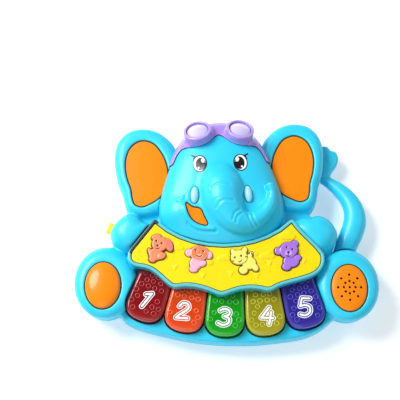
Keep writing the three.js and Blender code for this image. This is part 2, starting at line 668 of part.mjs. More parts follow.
// ---------------------------------------------------------------- tail handle
const handleRoute = route([
  [112, -24, 15], [116, -13, 15.5], [121, -2, 16], [124.8, 9.5, 16.5], [124.6, 21, 16.5],
  [119.5, 33.5, 16], [110, 44.5, 15], [102, 51, 14], [96, 55.5, 13],
]);
const HANDLE_ACROSS = [10, 10.5, 11, 11, 10, 8.6, 6.8, 5.4, 5];
const HANDLE_UP = [9, 9.5, 9.5, 9.5, 9, 8, 7, 6, 5.5];
const tuft = smooth(
  [
    [91, 56], [90, 84], [96, 88.5], [101, 88], [104.5, 84], [108.8, 83], [111.4, 77.5],
    [110.5, 70], [105.5, 62.5], [101.5, 56.5],
  ],
  26,
);

function tailHandle() {
  const sizes = (share) => [between(HANDLE_ACROSS, share), between(HANDLE_UP, share)];
  const loop = bentTube(handleRoute, sizes, 20, 14);
  const tip = dome(tuft, [101, 72], [[1, 1.5, 8], [1, 0, 10], [1, 0, 16], [1, 1.6, 18.5], [1, 4, 19.6]]);
  const neighbours = sides.map((side) => prism(grown(earOf(side, FINE.ear), 0.3), -5, 60));
  neighbours.push(prism(grown(footOf("right", FINE.foot), 0.3), -5, 60));
  neighbours.push(prism(grown(armOf("right", FINE.arm), 0.3), -5, 60));
  neighbours.push(prism(grown(torso(FINE.torso), 0.3), -5, 60));
  return cutBy(loop.add(tip), neighbours);
}

// ---------------------------------------------------------------- soles
function soleButton() {
  const cap = dome(
    ellipse(...SOLE.left, SOLE.rx, SOLE.ry, 24),
    SOLE.left,
    [[1, 0, 35], [1, 0, 40], [0.96, 0, 42], [0.84, 0, 44], [0.62, 0, 45.5], [0.3, 0, 46.3]],
  );
  return cap.add(post(...SOLE.left, 32.4, 36, 5, 12));
}

function soleGrille() {
  const cap = dome(
    ellipse(...SOLE.right, SOLE.rx, SOLE.ry, 24),
    SOLE.right,
    [[1, 0, 37], [1, 0, 40], [0.96, 0, 41.4], [0.82, 0, 42.4], [0.5, 0, 43]],
  );
  const [x, y] = SOLE.right;
  const holes = [post(x, y, 30, 50, 0.9, 6)];
  const rings = [{ rx: 5.4, ry: 5.8 }, { rx: 10.6, ry: 12 }];
  rings.forEach(({ rx, ry }) => {
    for (let i = 0; i < 8; i++) {
      const angle = (i * Math.PI) / 4;
      holes.push(post(x + rx * Math.cos(angle), y + ry * Math.sin(angle), 30, 50, 0.9, 6));
    }
  });
  const under = prism(ellipse(x, y, SOLE.rx - 2, SOLE.ry - 2, 16), 30, 40.2);
  return cutBy(cap, [under, ...holes]);
}

// ---------------------------------------------------------------- electrical and fixing parts
const SPEAKER_FRAME = [
  [0, 0], [9, 0], [10, 2], [16.5, 9], [18, 9], [18, 11], [15.8, 11], [15.8, 10], [8.6, 3.4], [0, 3.4],
];
const SPEAKER_CONE = [[0, 4.2], [5, 4.2], [15.2, 10.4], [15.2, 11], [5.4, 5.4], [4.6, 6.2], [0, 7.4]];
const SPEAKER_MAGNET = [[0, -8], [10.6, -8], [11, -7.4], [11, -0.4], [0, -0.4]];

function cellBody() {
  const half = CELL.length / 2;
  const profile = [
    [0, -half], [CELL.radius - 0.6, -half], [CELL.radius, -half + 0.6], [CELL.radius, half - 1.4],
    [2.7, half - 1.4], [2.7, half], [0, half],
  ];
  return solid(new THREE.LatheGeometry(profile.map(([r, y]) => vec(r, y)), 14));
}

// A conical spring whose wide end is at the origin and whose tip points along +X.
function coilSpring() {
  const steps = 15;
  const turns = 1.5;
  const points = [];
  for (let i = 0; i <= steps; i++) {
    const share = i / steps;
    const angle = share * turns * 2 * Math.PI;
    const radius = 4 - 1.8 * share;
    points.push([share * 2.6, radius * Math.cos(angle), radius * Math.sin(angle)]);
  }
  const section = new THREE.Shape(ellipse(0, 0, 0.35, 0.35, 5));
  return solid(new THREE.ExtrudeGeometry(section, { steps, extrudePath: route(points) }));
}

// side is -1 for the bay's left end and 1 for its right end; a row is one cell.
const contactX = (side) => BAY.x + side * (BAY.length / 2 - 0.6);
const rowY = (row) => BAY.y + row * CELL.pitch;
function contact(side, rows) {
  const middle = (rowY(rows[0]) + rowY(rows[rows.length - 1])) / 2;
  return box(contactX(side), middle, 8, 0.5, 10 + (rows.length - 1) * CELL.pitch, 10);
}
function spring(side, row) {
  const coil = side > 0 ? coilSpring().rotate([0, 0, 180]) : coilSpring();
  return coil.translate(contactX(side), rowY(row), CELL.z);
}

// A screw standing on its head: the head is at the origin and the shank rises from it.
function screwBody(headRadius, headHeight, shankRadius, length) {
  const blank = turned(
    [
      [0, 0], [headRadius * 0.9, 0], [headRadius, headHeight * 0.5], [headRadius, headHeight],
      [shankRadius, headHeight], [shankRadius, length - 1.5], [0, length],
    ],
    8,
  );
  const slot = new THREE.BoxGeometry(headRadius * 1.2, 0.8, 1.2);
  return blank.subtract(solid(slot)).subtract(solid(slot.rotateZ(Math.PI / 2)));
}

function wire(points) {
  const section = new THREE.Shape(ellipse(0, 0, 0.6, 0.6, 6));
  return solid(new THREE.ExtrudeGeometry(section, { steps: 14, extrudePath: route(points) }));
}
const RED = 0xc81414;
const DARK = 0x101010;
const WIRES = {
  speaker_wire_red: {
    colour: RED,
    points: [[20, -6, 13], [40, -18, 13], [70, -24, 12], [90, -38, 12], [98, -44, 12], [100, -46, 14]],
  },
  speaker_wire_black: {
    colour: DARK,
    points: [[20, -9, 13], [40, -21, 13], [70, -27, 12], [88, -41, 12], [96, -50, 12], [99, -52, 15]],
  },
  battery_wire_red: {
    colour: RED,
    points: [[-20, 9, 12.6], [-24, 13, 13], [-38, 18, 12], [-40, 40, 11], [-38, 60, 12], [-36, 66, 16]],
  },
  battery_wire_black: {
    colour: DARK,
    points: [[10, 9, 12.6], [16, 13, 13], [30, 18, 12], [33, 26, 11], [31, 32, 14]],
  },
};

// ---------------------------------------------------------------- assembly
const toy = new THREE.Group();
const headGroup = new THREE.Group();
headGroup.position.set(HEAD.x, HEAD.y, 0);
headGroup.rotation.z = HEAD.tilt;
toy.add(headGroup);

function add(parent, name, shape, color, roughness = 0.35, metalness = 0) {
  const material = new THREE.MeshStandardMaterial({ color, roughness, metalness });
  const mesh = new THREE.Mesh(geometryOf(shape), material);
  mesh.name = name;
  parent.add(mesh);
  return mesh;
}

add(toy, "front_housing", frontHousing(), PLASTIC.blue);
add(toy, "rear_housing", rearHousing(), PLASTIC.blue);
add(toy, "tail_handle", tailHandle(), PLASTIC.blue);
add(headGroup, "head_shell", headShell(), PLASTIC.blue);
add(toy, "panel_tray", panelTray(), PLASTIC.blue);
add(toy, "music_panel", musicPanel(), PLASTIC.yellow, 0.4);

const trunkRoom = trunkBody(-0.4);
const underHead = prism(grown(head(FINE.head), 2 * GAP), 0, Z_TOP);
sides.forEach((name) => {
  const side = signOf(name);
  const insert = prism(insertOf(name), Z_EAR - 2.7, Z_EAR - 0.8).subtract(underHead);
  add(headGroup, `${name}_ear_insert`, insert, PLASTIC.orange);
  add(headGroup, `${name}_eye`, inlay(eye(side, 0), -1, 0.5), PLASTIC.black, 0.15);
  add(headGroup, `${name}_tusk`, inlay(tusk(side, 0), -1, 2.6).subtract(trunkRoom), PLASTIC.ivory);
  add(headGroup, `${name}_goggle_lens`, onCup(side, CUP_LENS, 18), PLASTIC.lavender, 0.1);
});
add(headGroup, "mouth_insert", inlay(mouth, -1.5, -0.4).subtract(trunkRoom), PLASTIC.orange);
add(headGroup, "goggle_frame", goggleFrame(), PLASTIC.purple);

Object.entries(ANIMALS).forEach(([name, animal]) => {
  const shape = animalBody(animal.ovals, 0, BUTTON.bottom, BUTTON.top);
  add(toy, `${name}_button`, shape, animal.colour).position.set(...buttonAt(animal), 0);
});
add(toy, "button_board", fanSector(200, 217, -24, 17, 38.2, 39.7), ...BOARD);
add(toy, "button_contact_pad", buttonPad(), 0xd8d8d8, 0.7);

const keyShape = keyBody();
KEYS.forEach((index) => {
  const pivot = onFan(FAN.hinge, keyAngle(index));
  const mesh = add(toy, `key_${index + 1}`, keyShape, KEY_COLOURS[index], 0.12);
  mesh.position.set(pivot.x, pivot.y, 0);
  mesh.rotation.z = keyAngle(index);
});
add(toy, "key_bracket", keyBracket(), 0xe8e8e8, 0.5);
add(toy, "key_board", fanSector(234, 268, FAN_START + 1, FAN_END - 1, 8, 9.6), ...BOARD);
add(toy, "key_contact_pad", keyRow(236, 255, 248, 9.9, 1.3, DOMED_PAD, 10), 0xd8d8d8, 0.7);
add(toy, "key_led_strip", keyRow(258, 265, 261.5, 9.9, 1.1, LED_BULB, 8), 0xf4f4f0, 0.3);

add(toy, "left_sole_button", soleButton(), PLASTIC.orange, 0.2);
add(toy, "right_sole_grille", soleGrille(), PLASTIC.orange, 0.3);
const soleSwitch = box(...SOLE.left, 26, 14, 14, 1.6).add(box(...SOLE.left, 27, 6, 6, 3));
add(toy, "sole_switch", soleSwitch, 0x303030, 0.5);

const speaker = new THREE.Group();
speaker.position.set(SOLE.right[0], SOLE.right[1] + 3, 25.5);
toy.add(speaker);
add(speaker, "speaker_frame", turned(SPEAKER_FRAME, 18), 0x8c8f92, 0.4, 0.8);
add(speaker, "speaker_cone", turned(SPEAKER_CONE, 18), 0x22211f, 0.8);
add(speaker, "speaker_magnet", turned(SPEAKER_MAGNET, 18), 0x3a3a3c, 0.5, 0.6);

const mainBoard = box(-4, -2, 10, 56, 28, 1.6).add(box(-6, 0, 11, 14, 10, 2.4));
add(toy, "main_board", mainBoard, ...BOARD);

const switchGroup = new THREE.Group();
switchGroup.position.set(SWITCH.x, SWITCH.y, SWITCH.z);
switchGroup.rotation.z = SWITCH.turn;
toy.add(switchGroup);
const knobRibs = [-3, 0, 3].map((y) => solid(new THREE.BoxGeometry(1.6, 1, 5).translate(-7.6, y, 0)));
const knob = joined([solid(new THREE.BoxGeometry(11.5, 11, 6).translate(-1.75, 0, 0)), ...knobRibs]);
add(switchGroup, "power_knob", knob, PLASTIC.yellow);
add(switchGroup, "power_switch", solid(new THREE.BoxGeometry(5, 20, 6).translate(8, 0, 0)), ...METAL);

const screwShape = screwBody(3, 2, 1.3, 12.5);
SCREWS.forEach(({ at }, i) => {
  add(toy, `housing_screw_${i + 1}`, screwShape, ...METAL).position.set(...at, 8.7);
});
add(toy, "battery_door", batteryDoor(), PLASTIC.blue);
const doorScrew = add(toy, "battery_door_screw", screwBody(2.8, 1, 1.1, 8), ...METAL);
doorScrew.position.set(BAY.x, DOOR.tabY - 0.5, Z_BACK + 0.1);

[-1, 0, 1].forEach((row, i) => {
  const cell = add(toy, `battery_${i + 1}`, cellBody(), 0x2b6b4f, 0.3, 0.3);
  cell.position.set(BAY.x + (row ? -CELL.shift : CELL.shift), rowY(row), CELL.z);
  cell.rotation.z = row ? Math.PI / 2 : -Math.PI / 2;
});
add(toy, "battery_contact_negative", contact(1, [-1]).add(spring(1, -1)), ...METAL);
add(toy, "battery_bridge_left", contact(-1, [-1, 0]).add(spring(-1, 0)), ...METAL);
add(toy, "battery_bridge_right", contact(1, [0, 1]).add(spring(1, 1)), ...METAL);
add(toy, "battery_contact_positive", contact(-1, [1]), ...METAL);
Object.entries(WIRES).forEach(([name, { colour, points }]) => add(toy, name, wire(points), colour, 0.5));

// Centre the toy on the origin.
const centre = new THREE.Box3().setFromObject(toy, true).getCenter(new THREE.Vector3());
toy.position.set(-centre.x, -centre.y, 0);

export default toy;
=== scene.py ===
"""Elephant-shaped toy keyboard, lying on its back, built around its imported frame.

Shapes are drawn in millimetres in the toy's own drawing frame and placed in the frame's metres.
"""

import math

import bpy
import numpy as np
from bpy.props import FloatProperty, FloatVectorProperty, IntProperty, PointerProperty
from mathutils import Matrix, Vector


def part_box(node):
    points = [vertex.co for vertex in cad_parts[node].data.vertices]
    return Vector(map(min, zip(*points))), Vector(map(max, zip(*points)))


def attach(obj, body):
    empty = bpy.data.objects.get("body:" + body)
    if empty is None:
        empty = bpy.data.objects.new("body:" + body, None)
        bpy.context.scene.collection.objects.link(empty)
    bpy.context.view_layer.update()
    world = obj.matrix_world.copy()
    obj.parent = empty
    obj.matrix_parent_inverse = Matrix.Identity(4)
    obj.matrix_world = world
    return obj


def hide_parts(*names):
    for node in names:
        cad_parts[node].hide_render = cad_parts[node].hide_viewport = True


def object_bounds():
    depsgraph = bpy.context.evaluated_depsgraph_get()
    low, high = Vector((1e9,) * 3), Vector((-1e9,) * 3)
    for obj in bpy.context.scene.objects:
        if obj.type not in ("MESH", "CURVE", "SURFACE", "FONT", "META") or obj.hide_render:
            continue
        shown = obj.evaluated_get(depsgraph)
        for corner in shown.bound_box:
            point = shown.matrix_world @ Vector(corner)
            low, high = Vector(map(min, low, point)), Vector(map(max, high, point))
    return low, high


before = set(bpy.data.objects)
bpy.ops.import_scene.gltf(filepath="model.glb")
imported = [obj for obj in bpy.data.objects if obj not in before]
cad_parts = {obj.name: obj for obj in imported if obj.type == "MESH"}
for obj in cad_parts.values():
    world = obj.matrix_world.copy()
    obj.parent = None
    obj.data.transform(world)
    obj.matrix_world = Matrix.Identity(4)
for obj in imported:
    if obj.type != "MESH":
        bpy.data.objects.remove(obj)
CAD_BOX = [list(corner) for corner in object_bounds()]

bl_info = {
    "name": "Elephant toy keyboard",
    "version": (1, 0, 0),
    "blender": (4, 5, 0),
    "location": "View3D > Sidebar > Toy keyboard",
    "description": "Builds the visible pieces of an elephant toy keyboard around its frame",
    "category": "Object",
}

MM = 0.001
BODY = "housing"

# The battery door's far corner fixes where the drawing lies in the frame.
DOOR_CORNER = (27.0, 73.0)
_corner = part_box("battery_door")[1]
ORIGIN = np.array([_corner.x / MM - DOOR_CORNER[0], _corner.y / MM - DOOR_CORNER[1], 0.0])

# ------------------------------------------------------------------ heights and places, mm
Z_BACK, Z_PARTING, Z_APRON, Z_FACE, Z_DECK = 3, 20, 27, 30, 36
Z_EAR, Z_FOOT, Z_TRAY, Z_KEY = 36, 40, 46.5, 35.5
Z_POCKET, Z_SLOT, Z_PANEL_BED, Z_TRAY_BED = 33, 37, 43, 37.9
# Shapes that cut, or that are cut off later, run on to these heights.
Z_UNDER, Z_OVER, Z_REAR_UNDER, Z_REAR_OVER = -20, 90, -9, 60
WALL, PARTING_GAP = 2.5, 0.15
# Lower and upper faces of the flat pieces, among them the dark bands of painted shade in the gaps and under
# the grille.
INSERT_LAYER, EAR_SHADE_LAYER, SOLE_SHADE_LAYER = (33.3, 34.7), (33.1, 35.1), (37, 39.9)
PANEL_LAYER, PANEL_SHADE_LAYER, HOLE_SHADE_LAYER = (43.3, 45.2), (43.1, 45.1), (38.4, 39.4)
# Edge roundings and fillets of the front housing, and the room that it leaves round other pieces.
APRON_EDGE, EAR_EDGE, FOOT_EDGE, EAR_FILLET, LIMB_FILLET, DECK_FILLET = 3, 9, 10, 4, 3, 1.5
HEAD_ROOM, KEY_ROOM, INSERT_ROOM, TRAY_ROOM, TRAY_EXTRA = 0.4, 0.9, 0.5, 3.5, 0.9
TRAY_RIM = 3
HEAD_AT, HEAD_TILT = (-4.0, 10.0), math.radians(2)
FOOT = {"left": (-113, -50.5), "right": (113.5, -53)}
FOOT_RADII, FOOT_LEAN = (29.5, 34.5), -5.5
SOLE = {"left": (-115, -58), "right": (114, -60.4)}
SOLE_RADII = (16.5, 22)
HOLE_RINGS = [(5.4, 5.8), (10.6, 12)]
# Keys and buttons lie on a fan: its apex, and the radii from there to the hinges, the keys' noses, the
# apron's edge and the buttons. The keys' angles are in degrees.
APEX, HINGE, NOSE_REACH, APRON_REACH, BUTTON_REACH = (10, 171), 216, 275.5, 280.5, 208
FIRST_KEY, KEY_PITCH = -19.15, 8.3
# In a key's own frame the hinge is at y = 0 and the nose has a negative y.
KEY_REAR, KEY_SHOULDER, KEY_GAP, NOSE_ROUND, NOSE_BLUNT = 5, -41, 0.6, 4, 0.55
SHOULDER_RADII, SLOT_RADII = (209.5, 320), (209.8, 222)
KEYS = range(5)
SIDES = {"left": -1, "right": 1}
PADS = [(-112, -54), (112, -57), (-77, 46), (66, 52)]
PAD_RADIUS, SCREW_WELL_RADIUS, SCREW_WELL_TOP = 9, 3.5, 11
HOUSING_SCREWS = [f"housing_screw_{i}" for i in range(1, 7)]
SWITCH_AT, SWITCH_TURN = (-106.5, 2.5), math.radians(20)
DOOR_AT, DOOR_HALF, DOOR_GAP = (-4, 48), (31, 25), 0.4
DOOR_TAB_AT, DOOR_TAB_HALF, DOOR_SCREW_AT = (-4, 20.5), (8, 4.5), (-4, 20)
Z_DOOR_TOP, BATTERY_BAY, SWITCH_WINDOW = 5.3, (58, 46, 31), ((-1, 0, 21.1), (14, 17, 20))


# ------------------------------------------------------------------ outlines
def smooth(knots, per=8, closed=True):
    """A centripetal spline through the knots."""
    p = np.array(knots, float)
    if not closed:
        p = np.vstack([2 * p[0] - p[1], p, 2 * p[-1] - p[-2]])
    count = len(p)
    made = []
    for i in range(count) if closed else range(1, count - 2):
        a, b, c, d = p[(i - 1) % count], p[i], p[(i + 1) % count], p[(i + 2) % count]
        t0 = 0.0
        t1 = t0 + np.linalg.norm(b - a) ** 0.5
        t2 = t1 + np.linalg.norm(c - b) ** 0.5
        t3 = t2 + np.linalg.norm(d - c) ** 0.5
        for t in np.linspace(t1, t2, per, endpoint=False):
            ab = ((t1 - t) * a + (t - t0) * b) / (t1 - t0)
            bc = ((t2 - t) * b + (t - t1) * c) / (t2 - t1)
            cd = ((t3 - t) * c + (t - t2) * d) / (t3 - t2)
            left = ((t2 - t) * ab + (t - t0) * bc) / (t2 - t0)
            right = ((t3 - t) * bc + (t - t1) * cd) / (t3 - t1)
            made.append(((t2 - t) * left + (t - t1) * right) / (t2 - t1))
    if not closed:
        made.append(p[-2])
    return np.array(made)


def path(start, *stretches, per=10):
    """A closed outline of straight lines and Bezier curves: each stretch holds its control points."""
    made = [np.array(start, float)]
    for stretch in stretches:
        control = [made[-1], *np.array(stretch, float)]
        for t in np.linspace(0, 1, per + 1)[1:] if len(control) > 2 else [1.0]:
            points = control
            while len(points) > 1:
                points = [a * (1 - t) + b * t for a, b in zip(points, points[1:])]
            made.append(points[0])
    return np.array(made[:-1])


def turned(points, angle, at=(0, 0)):
    """Points turned about the origin and then moved."""
    p = np.array(points, float)
    c, s = math.cos(angle), math.sin(angle)
    x = p[..., 0] * c - p[..., 1] * s + at[0]
    y = p[..., 0] * s + p[..., 1] * c + at[1]
    return np.stack([x, y, *np.moveaxis(p[..., 2:], -1, 0)], -1)


def from_head(points):
    """Points of the head's own frame, taken to the drawing."""
    return turned(points, HEAD_TILT, HEAD_AT)


def mirrored(points):
    """Points of the right side, taken to the left one."""
    return np.array(points, float) * [-1, 1]


def fan(radius, degrees):
    """The place at a radius and an angle on the keys' fan."""
    angle = math.radians(degrees)
    return np.array([APEX[0] + radius * math.sin(angle), APEX[1] - radius * math.cos(angle)])


def key_angle(index):
    """The angle of a key's middle, in degrees; halves give the gaps between keys."""
    return FIRST_KEY + index * KEY_PITCH


def from_key(index):
    """The move that takes a key's own frame to the drawing."""
    return lambda points: turned(points, math.radians(key_angle(index)), fan(HINGE, key_angle(index)))


EAR = smooth([
    (43, 75), (52, 86), (62, 92.3), (75, 94.6), (88, 91.5), (97.5, 82), (101.5, 68), (101, 53),
    (98.5, 39.5), (94.5, 29), (92.8, 19.5), (90.5, 11.5), (84, 5.3), (73, 3.8), (60, 6.5),
    (44, 15), (36, 45),
], 5)
EAR_INSERT = smooth([
    (74, 80.1), (84, 75.3), (89.5, 65.2), (91, 52.8), (89, 40.3), (86, 30.7), (85, 22.5),
    (82.5, 15.3), (76, 12.6), (68, 15.3), (58, 22), (52.5, 32.6), (50, 45.1), (52, 58),
    (56.5, 68.1), (63.5, 76.8),
], 5)
HALF_HEAD = [
    (12, 92.4), (24, 87.5), (34.5, 78.3), (42, 65.8), (47, 53.4), (51, 41.8), (55.5, 27.4),
    (59.3, 11.1), (58.5, -2.4), (53.5, -12.4), (45, -21.1), (31, -28.3), (15, -32.1),
]
HEAD = smooth([(0, 93.7), *HALF_HEAD, (0, -33.1), *[(-x, y) for x, y in reversed(HALF_HEAD)]], 4)
HEAD_CENTRE = (0, 30)
ARMS = {
    "left": (smooth([
        (-66, 0), (-77, 5), (-85, 11.5), (-94, 13.6), (-104, 6), (-110, -5.4), (-105.5, -18.6),
        (-95, -25), (-84, -22),
    ], 6), (-90, -5)),
    "right": (smooth([
        (60, 0), (69.2, 9), (78, 9.8), (88.5, 12.2), (98.4, 7.5), (104.5, -1.1), (106, -8),
        (100, -21.5), (89, -28), (78, -22),
    ], 6), (86, -7)),
}
TORSO = smooth([
    (-92, 2), (-100, -30), (-104, -60), (-101, -80), *[fan(APRON_REACH, a) for a in range(-21, 15, 7)],
    (95, -90.5), (104, -80), (104, -60), (100, -30), (92, 2), (60, 28), (0, 38), (-60, 28),
], 5)
PLATE = path(
    (-66.9, 1.1), [(-88, -26.5)], [(-92.5, -37.5), (-80, -38.8)], [(-66, -40), (-60, -50), (-51.5, -56.5)],
    [(-48.5, -59), (-45, -58)], [(-32, -55.5), (-20, -59.5), (-8, -64.7)], [(-4.5, -66), (-1, -64.7)],
    [(11, -59.5), (23, -57.5), (36, -61)], [(39.5, -61.9), (42.5, -60)],
    [(51, -54.5), (63, -53.5), (77, -48.4)], [(90, -43), (88, -30.5)], [(82, -20), (70, -12), (61.6, 1.1)],
    [(30, -30.6), (-35, -30.6), (-66.9, 1.1)],
)
PLATE_LEFT_EDGE = [(-66.9, 1.1), (-88, -26.5)]


def key_outline():
    """A key from above: its sides spread with the fan, and its nose is rounded."""
    spread = math.tan(math.radians(KEY_PITCH / 2))
    nose = HINGE - NOSE_REACH
    rear, shoulder, front = [(HINGE - y) * spread - KEY_GAP for y in (KEY_REAR, KEY_SHOULDER, nose)]
    corner, cheek = (front, nose + NOSE_ROUND), (front * NOSE_BLUNT, nose)
    return path(
        (rear, KEY_REAR), [(-rear, KEY_REAR)], [(-shoulder, KEY_SHOULDER)],
        [(-corner[0], corner[1]), (-cheek[0], cheek[1]), (0, nose)],
        [cheek, corner, (shoulder, KEY_SHOULDER)], [(rear, KEY_REAR)],
        per=14,
    )


KEY = key_outline()
MOUTH = smooth([
    (-33.5, 9.2), (-28, 5.2), (-20.5, 2.9), (-17, -4.3), (-14, -12.4), (-20.5, -11.7), (-28, -6.9),
    (-32.2, 0.5),
], 6)
HALF_STRAP = [
    (14, 97), (28, 93.5), (39, 83.5), (45, 72.5), (48.6, 60.5), (49, 51.6), (45.6, 50.8), (43.4, 54.6),
    (40.6, 60), (36.6, 64.4), (31.5, 65.5), (25, 65.4), (18, 66.2), (11, 69.2), (5, 74.4),
]
STRAP = smooth([(0, 97), *HALF_STRAP, (0, 77), *[(-x, y) for x, y in reversed(HALF_STRAP)]], 4)
TUFT = smooth([
    (91, 56), (90, 84), (96, 88.5), (101, 88), (104.5, 84), (108.8, 83), (111.4, 77.5),
    (110.5, 70), (105.5, 62.5), (101.5, 56.5),
], 6)
TRUNK = [
    (0, 42, 45), (0.5, 32, 49.5), (1.2, 22.5, 51.6), (1.5, 12, 51.8), (5.5, 1.5, 51), (12.5, -7.5, 50),
    (21, -10.8, 49), (29.5, -9.2, 48.5), (37.5, -4.2, 49), (43.8, 3.2, 50.5), (47, 11, 52),
    (47.3, 18.5, 53.5), (46, 25.4, 54.5),
]
TRUNK_ACROSS = [12.5, 17.5, 20, 18.8, 16.8, 13.6, 11.2, 9.6, 8.4, 6.8, 4.6, 3.7, 5]
TRUNK_UP = [9, 14.5, 18.5, 18.5, 17.2, 15, 13, 11.5, 9.8, 8, 5.8, 4.7, 5.6]
HANDLE = [
    (112, -24, 15), (116, -13, 15.5), (121, -2, 16), (124.8, 9.5, 16.5), (124.6, 21, 16.5),
    (119.5, 33.5, 16), (110, 44.5, 15), (102, 51, 14), (96, 55.5, 13),
]
HANDLE_ACROSS = [10, 10.5, 11, 11, 10, 8.6, 6.8, 5.4, 5]
HANDLE_UP = [9, 9.5, 9.5, 9.5, 9, 8, 7, 6, 5.5]
TUFT_LOBES = [((97, 66), 9), ((104, 77), 6.5), ((97, 82), 6)]
TUFT_MIDDLE, TUFT_HALF, TAIL_ROOM = 14.5, 5.6, 0.4

# Folds in the trunk and face, in the head's frame.
FOLDS = [
    [(-10, 18.6), (-4, 22.2), (1.2, 22.6), (8, 21.4)],
    [(-5.6, 0.2), (-1.5, 4.9), (2.4, 6.2), (10.5, 6)],
    [(9, -11.4), (10.8, -6.8), (13.5, -3.8), (16.2, -2.3)],
    [(12, -13.4), (13, -9.8), (15.4, -7), (18, -5.6)],
    [(27.2, -4.6), (28.7, -10.6), (31.6, -15.6)],
    [(24, -7.2), (25.6, -12.6), (28.4, -17)],
    [(-41, 11), (-36.6, 11.7), (-34.8, 12.7), (-34.2, 15.4)],
    [(-33, -10), (-30.4, -12.9), (-25.6, -16.2), (-19.1, -18.1), (-12, -18.8), (-6, -18.9)],
]
LIP = [(-35.2, 4), (-33.4, -4), (-29.6, -9.6), (-24.3, -13.7), (-17.5, -15.9), (-9, -16.3)]
FOLD_WIDTH, FOLD_DEPTH, LIP_WIDTH, LIP_HEIGHT = 1.0, 0.7, 1.9, 1.3
BANK_AWAY, BANK_WIDTH, BANK_HEIGHT = 2.2, 1.3, 0.2

# Crowned bodies: base, rise, how flat the top is and how round the flank is. The head's wall is thicker.
HEAD_CROWN, HEAD_EXTRA_WALL = (36, 21, 2.7, 0.48), 0.6
ARM_CROWN = (26, 20, 2.8, 0.42)
CHEEK_AT, CHEEK_RADII = (-37, 4, 40), (17, 17, 15.5)
DENT_AT, DENT_DEPTH, DENT_SPREAD = (28, 11), 3.2, 90
TIP_AT, TIP_SLANT, TIP_FROM = (46, 24.9), 0.15, 34
NOSTRIL_AT, NOSTRIL_RADII = (46, 26.2, 55.4), (3.6, 3.4, 4)

# Eyes, tusks and goggle cups of the right side, in the head's frame; the left side mirrors them.
EYE_AT, EYE_RADII = (19.2, 47), (6.8, 8.7)
LASH = np.array([(22.5, 53.4), (26.4, 56.2)])
BROW = np.array([(19.5, 55), (24, 54.2), (25.2, 51)])
LASH_HALF, BROW_HALF = 0.75, 0.7
TUSK_AT, TUSK_RADII, TUSK_TURN, TUSK_GAP = (25.2, 16, 54.6), (3.9, 8.2, 4.4), 0.08, 0.45
CUP_AT, CUP_SPREAD, CUP_LEAN = (20.3, 79.4, 57.0), 0.3, 0.52
CUP_RADIUS, SEAT_RADIUS, LENS_RADIUS = 13.6, 10.9, 10.4
CUP_TOP, SEAT_FLOOR = 2.3, -1.3
MOUTH_DEPTH, MOUTH_SUNK, MOUTH_ROOM, EYE_DEPTH, EYE_PROUD = 1.7, 0.7, 0.3, 0.9, 0.35
STRAP_THICK, STRAP_END = 1.4, 37.6

# Boxes that hold the larger shapes, from corner to corner, in each shape's own frame.
FRONT_SPAN = (-146, -112, 20), (146, 107, 47)
REAR_SPAN = (-146, -112, 0), (146, 107, 20)
DOOR_SPAN = (-36, 15, 2.5), (28, 74, 6)
TAIL_SPAN = (88, -26, 5), (137, 92, 27)
HEAD_SPAN = (-63, -36, 30), (63, 97, 72)
GOGGLE_SPAN = (-54, 47, 37), (54, 100, 68)
STRAP_SHADE_SPAN = (-50, 49, 37), (50, 90, 58)
TRAY_SPAN = (-95, -70, 36), (94, 5, 47)
PANEL_SPAN = (-91, -67, 43), (90, 3, 46)
BUTTON_SPAN = (-14, -16, 42), (14, 17, 49)
KEY_SPAN = (-17, -61, 16), (17, 6, 36)
NUMERAL_SPAN = (-11, -54, 35), (11, -28, 35.8)
KNOB_SPAN = (-9, -6, 11), (5, 6, 18)
SCREW_SPAN = (-3.1, -3.1, 0), (3.1, 3.1, 12.4)


# ------------------------------------------------------------------ distances
def to_outline(points, x, y):
    """Signed distance to a closed outline, negative inside it."""
    x, y = np.broadcast_arrays(x, y)
    best = np.full(x.shape, 1e9)
    inside = np.zeros(x.shape, bool)
    for (ax, ay), (bx, by) in zip(points, np.roll(points, -1, 0)):
        ex, ey, wx, wy = bx - ax, by - ay, x - ax, y - ay
        t = np.clip((wx * ex + wy * ey) / max(ex * ex + ey * ey, 1e-9), 0, 1)
        best = np.minimum(best, (wx - ex * t) ** 2 + (wy - ey * t) ** 2)
        if ay != by:
            inside ^= ((ay > y) != (by > y)) & (x < (bx - ax) * (y - ay) / (by - ay) + ax)
    return np.where(inside, -1, 1) * np.sqrt(best)


def within(body, y):
    """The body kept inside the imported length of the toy."""
    margin = 0.05
    low, high = [corner[1] / MM - ORIGIN[1] for corner in CAD_BOX]
    return both(body, np.maximum(y - high + margin, low + margin - y))


def to_line(points, x, y):
    """Distance to an open line."""
    best = 1e9
    for (ax, ay), (bx, by) in zip(points, points[1:]):
        ex, ey, wx, wy = bx - ax, by - ay, x - ax, y - ay
        t = np.clip((wx * ex + wy * ey) / max(ex * ex + ey * ey, 1e-9), 0, 1)
        best = np.minimum(best, (wx - ex * t) ** 2 + (wy - ey * t) ** 2)
    return np.sqrt(best)


def ball(centre, radii, *axes, turn=0.0):
    """Distance to an ellipsoid, or to an ellipse when two axes are given."""
    offsets = [a - c for a, c in zip(axes, centre)]
    if turn:
        c, s = math.cos(turn), math.sin(turn)
        offsets[:2] = [offsets[0] * c + offsets[1] * s, -offsets[0] * s + offsets[1] * c]
    k = np.sqrt(sum((o / r) ** 2 for o, r in zip(offsets, radii)))
    g = np.sqrt(sum((o / r**2) ** 2 for o, r in zip(offsets, radii)))
    return k * (k - 1) / np.maximum(g, 1e-6)


def slab(flat, z, low, high, top=0.4, bottom=0.4):
    """A plate over a flat distance, with its upper and lower edges rounded."""
    middle, half = (low + high) / 2, (high - low) / 2
    r = np.where(z > middle, top, bottom)
    across, up = flat + r, np.abs(z - middle) - half + r
    return np.minimum(np.maximum(across, up), 0) + np.hypot(np.maximum(across, 0), np.maximum(up, 0)) - r


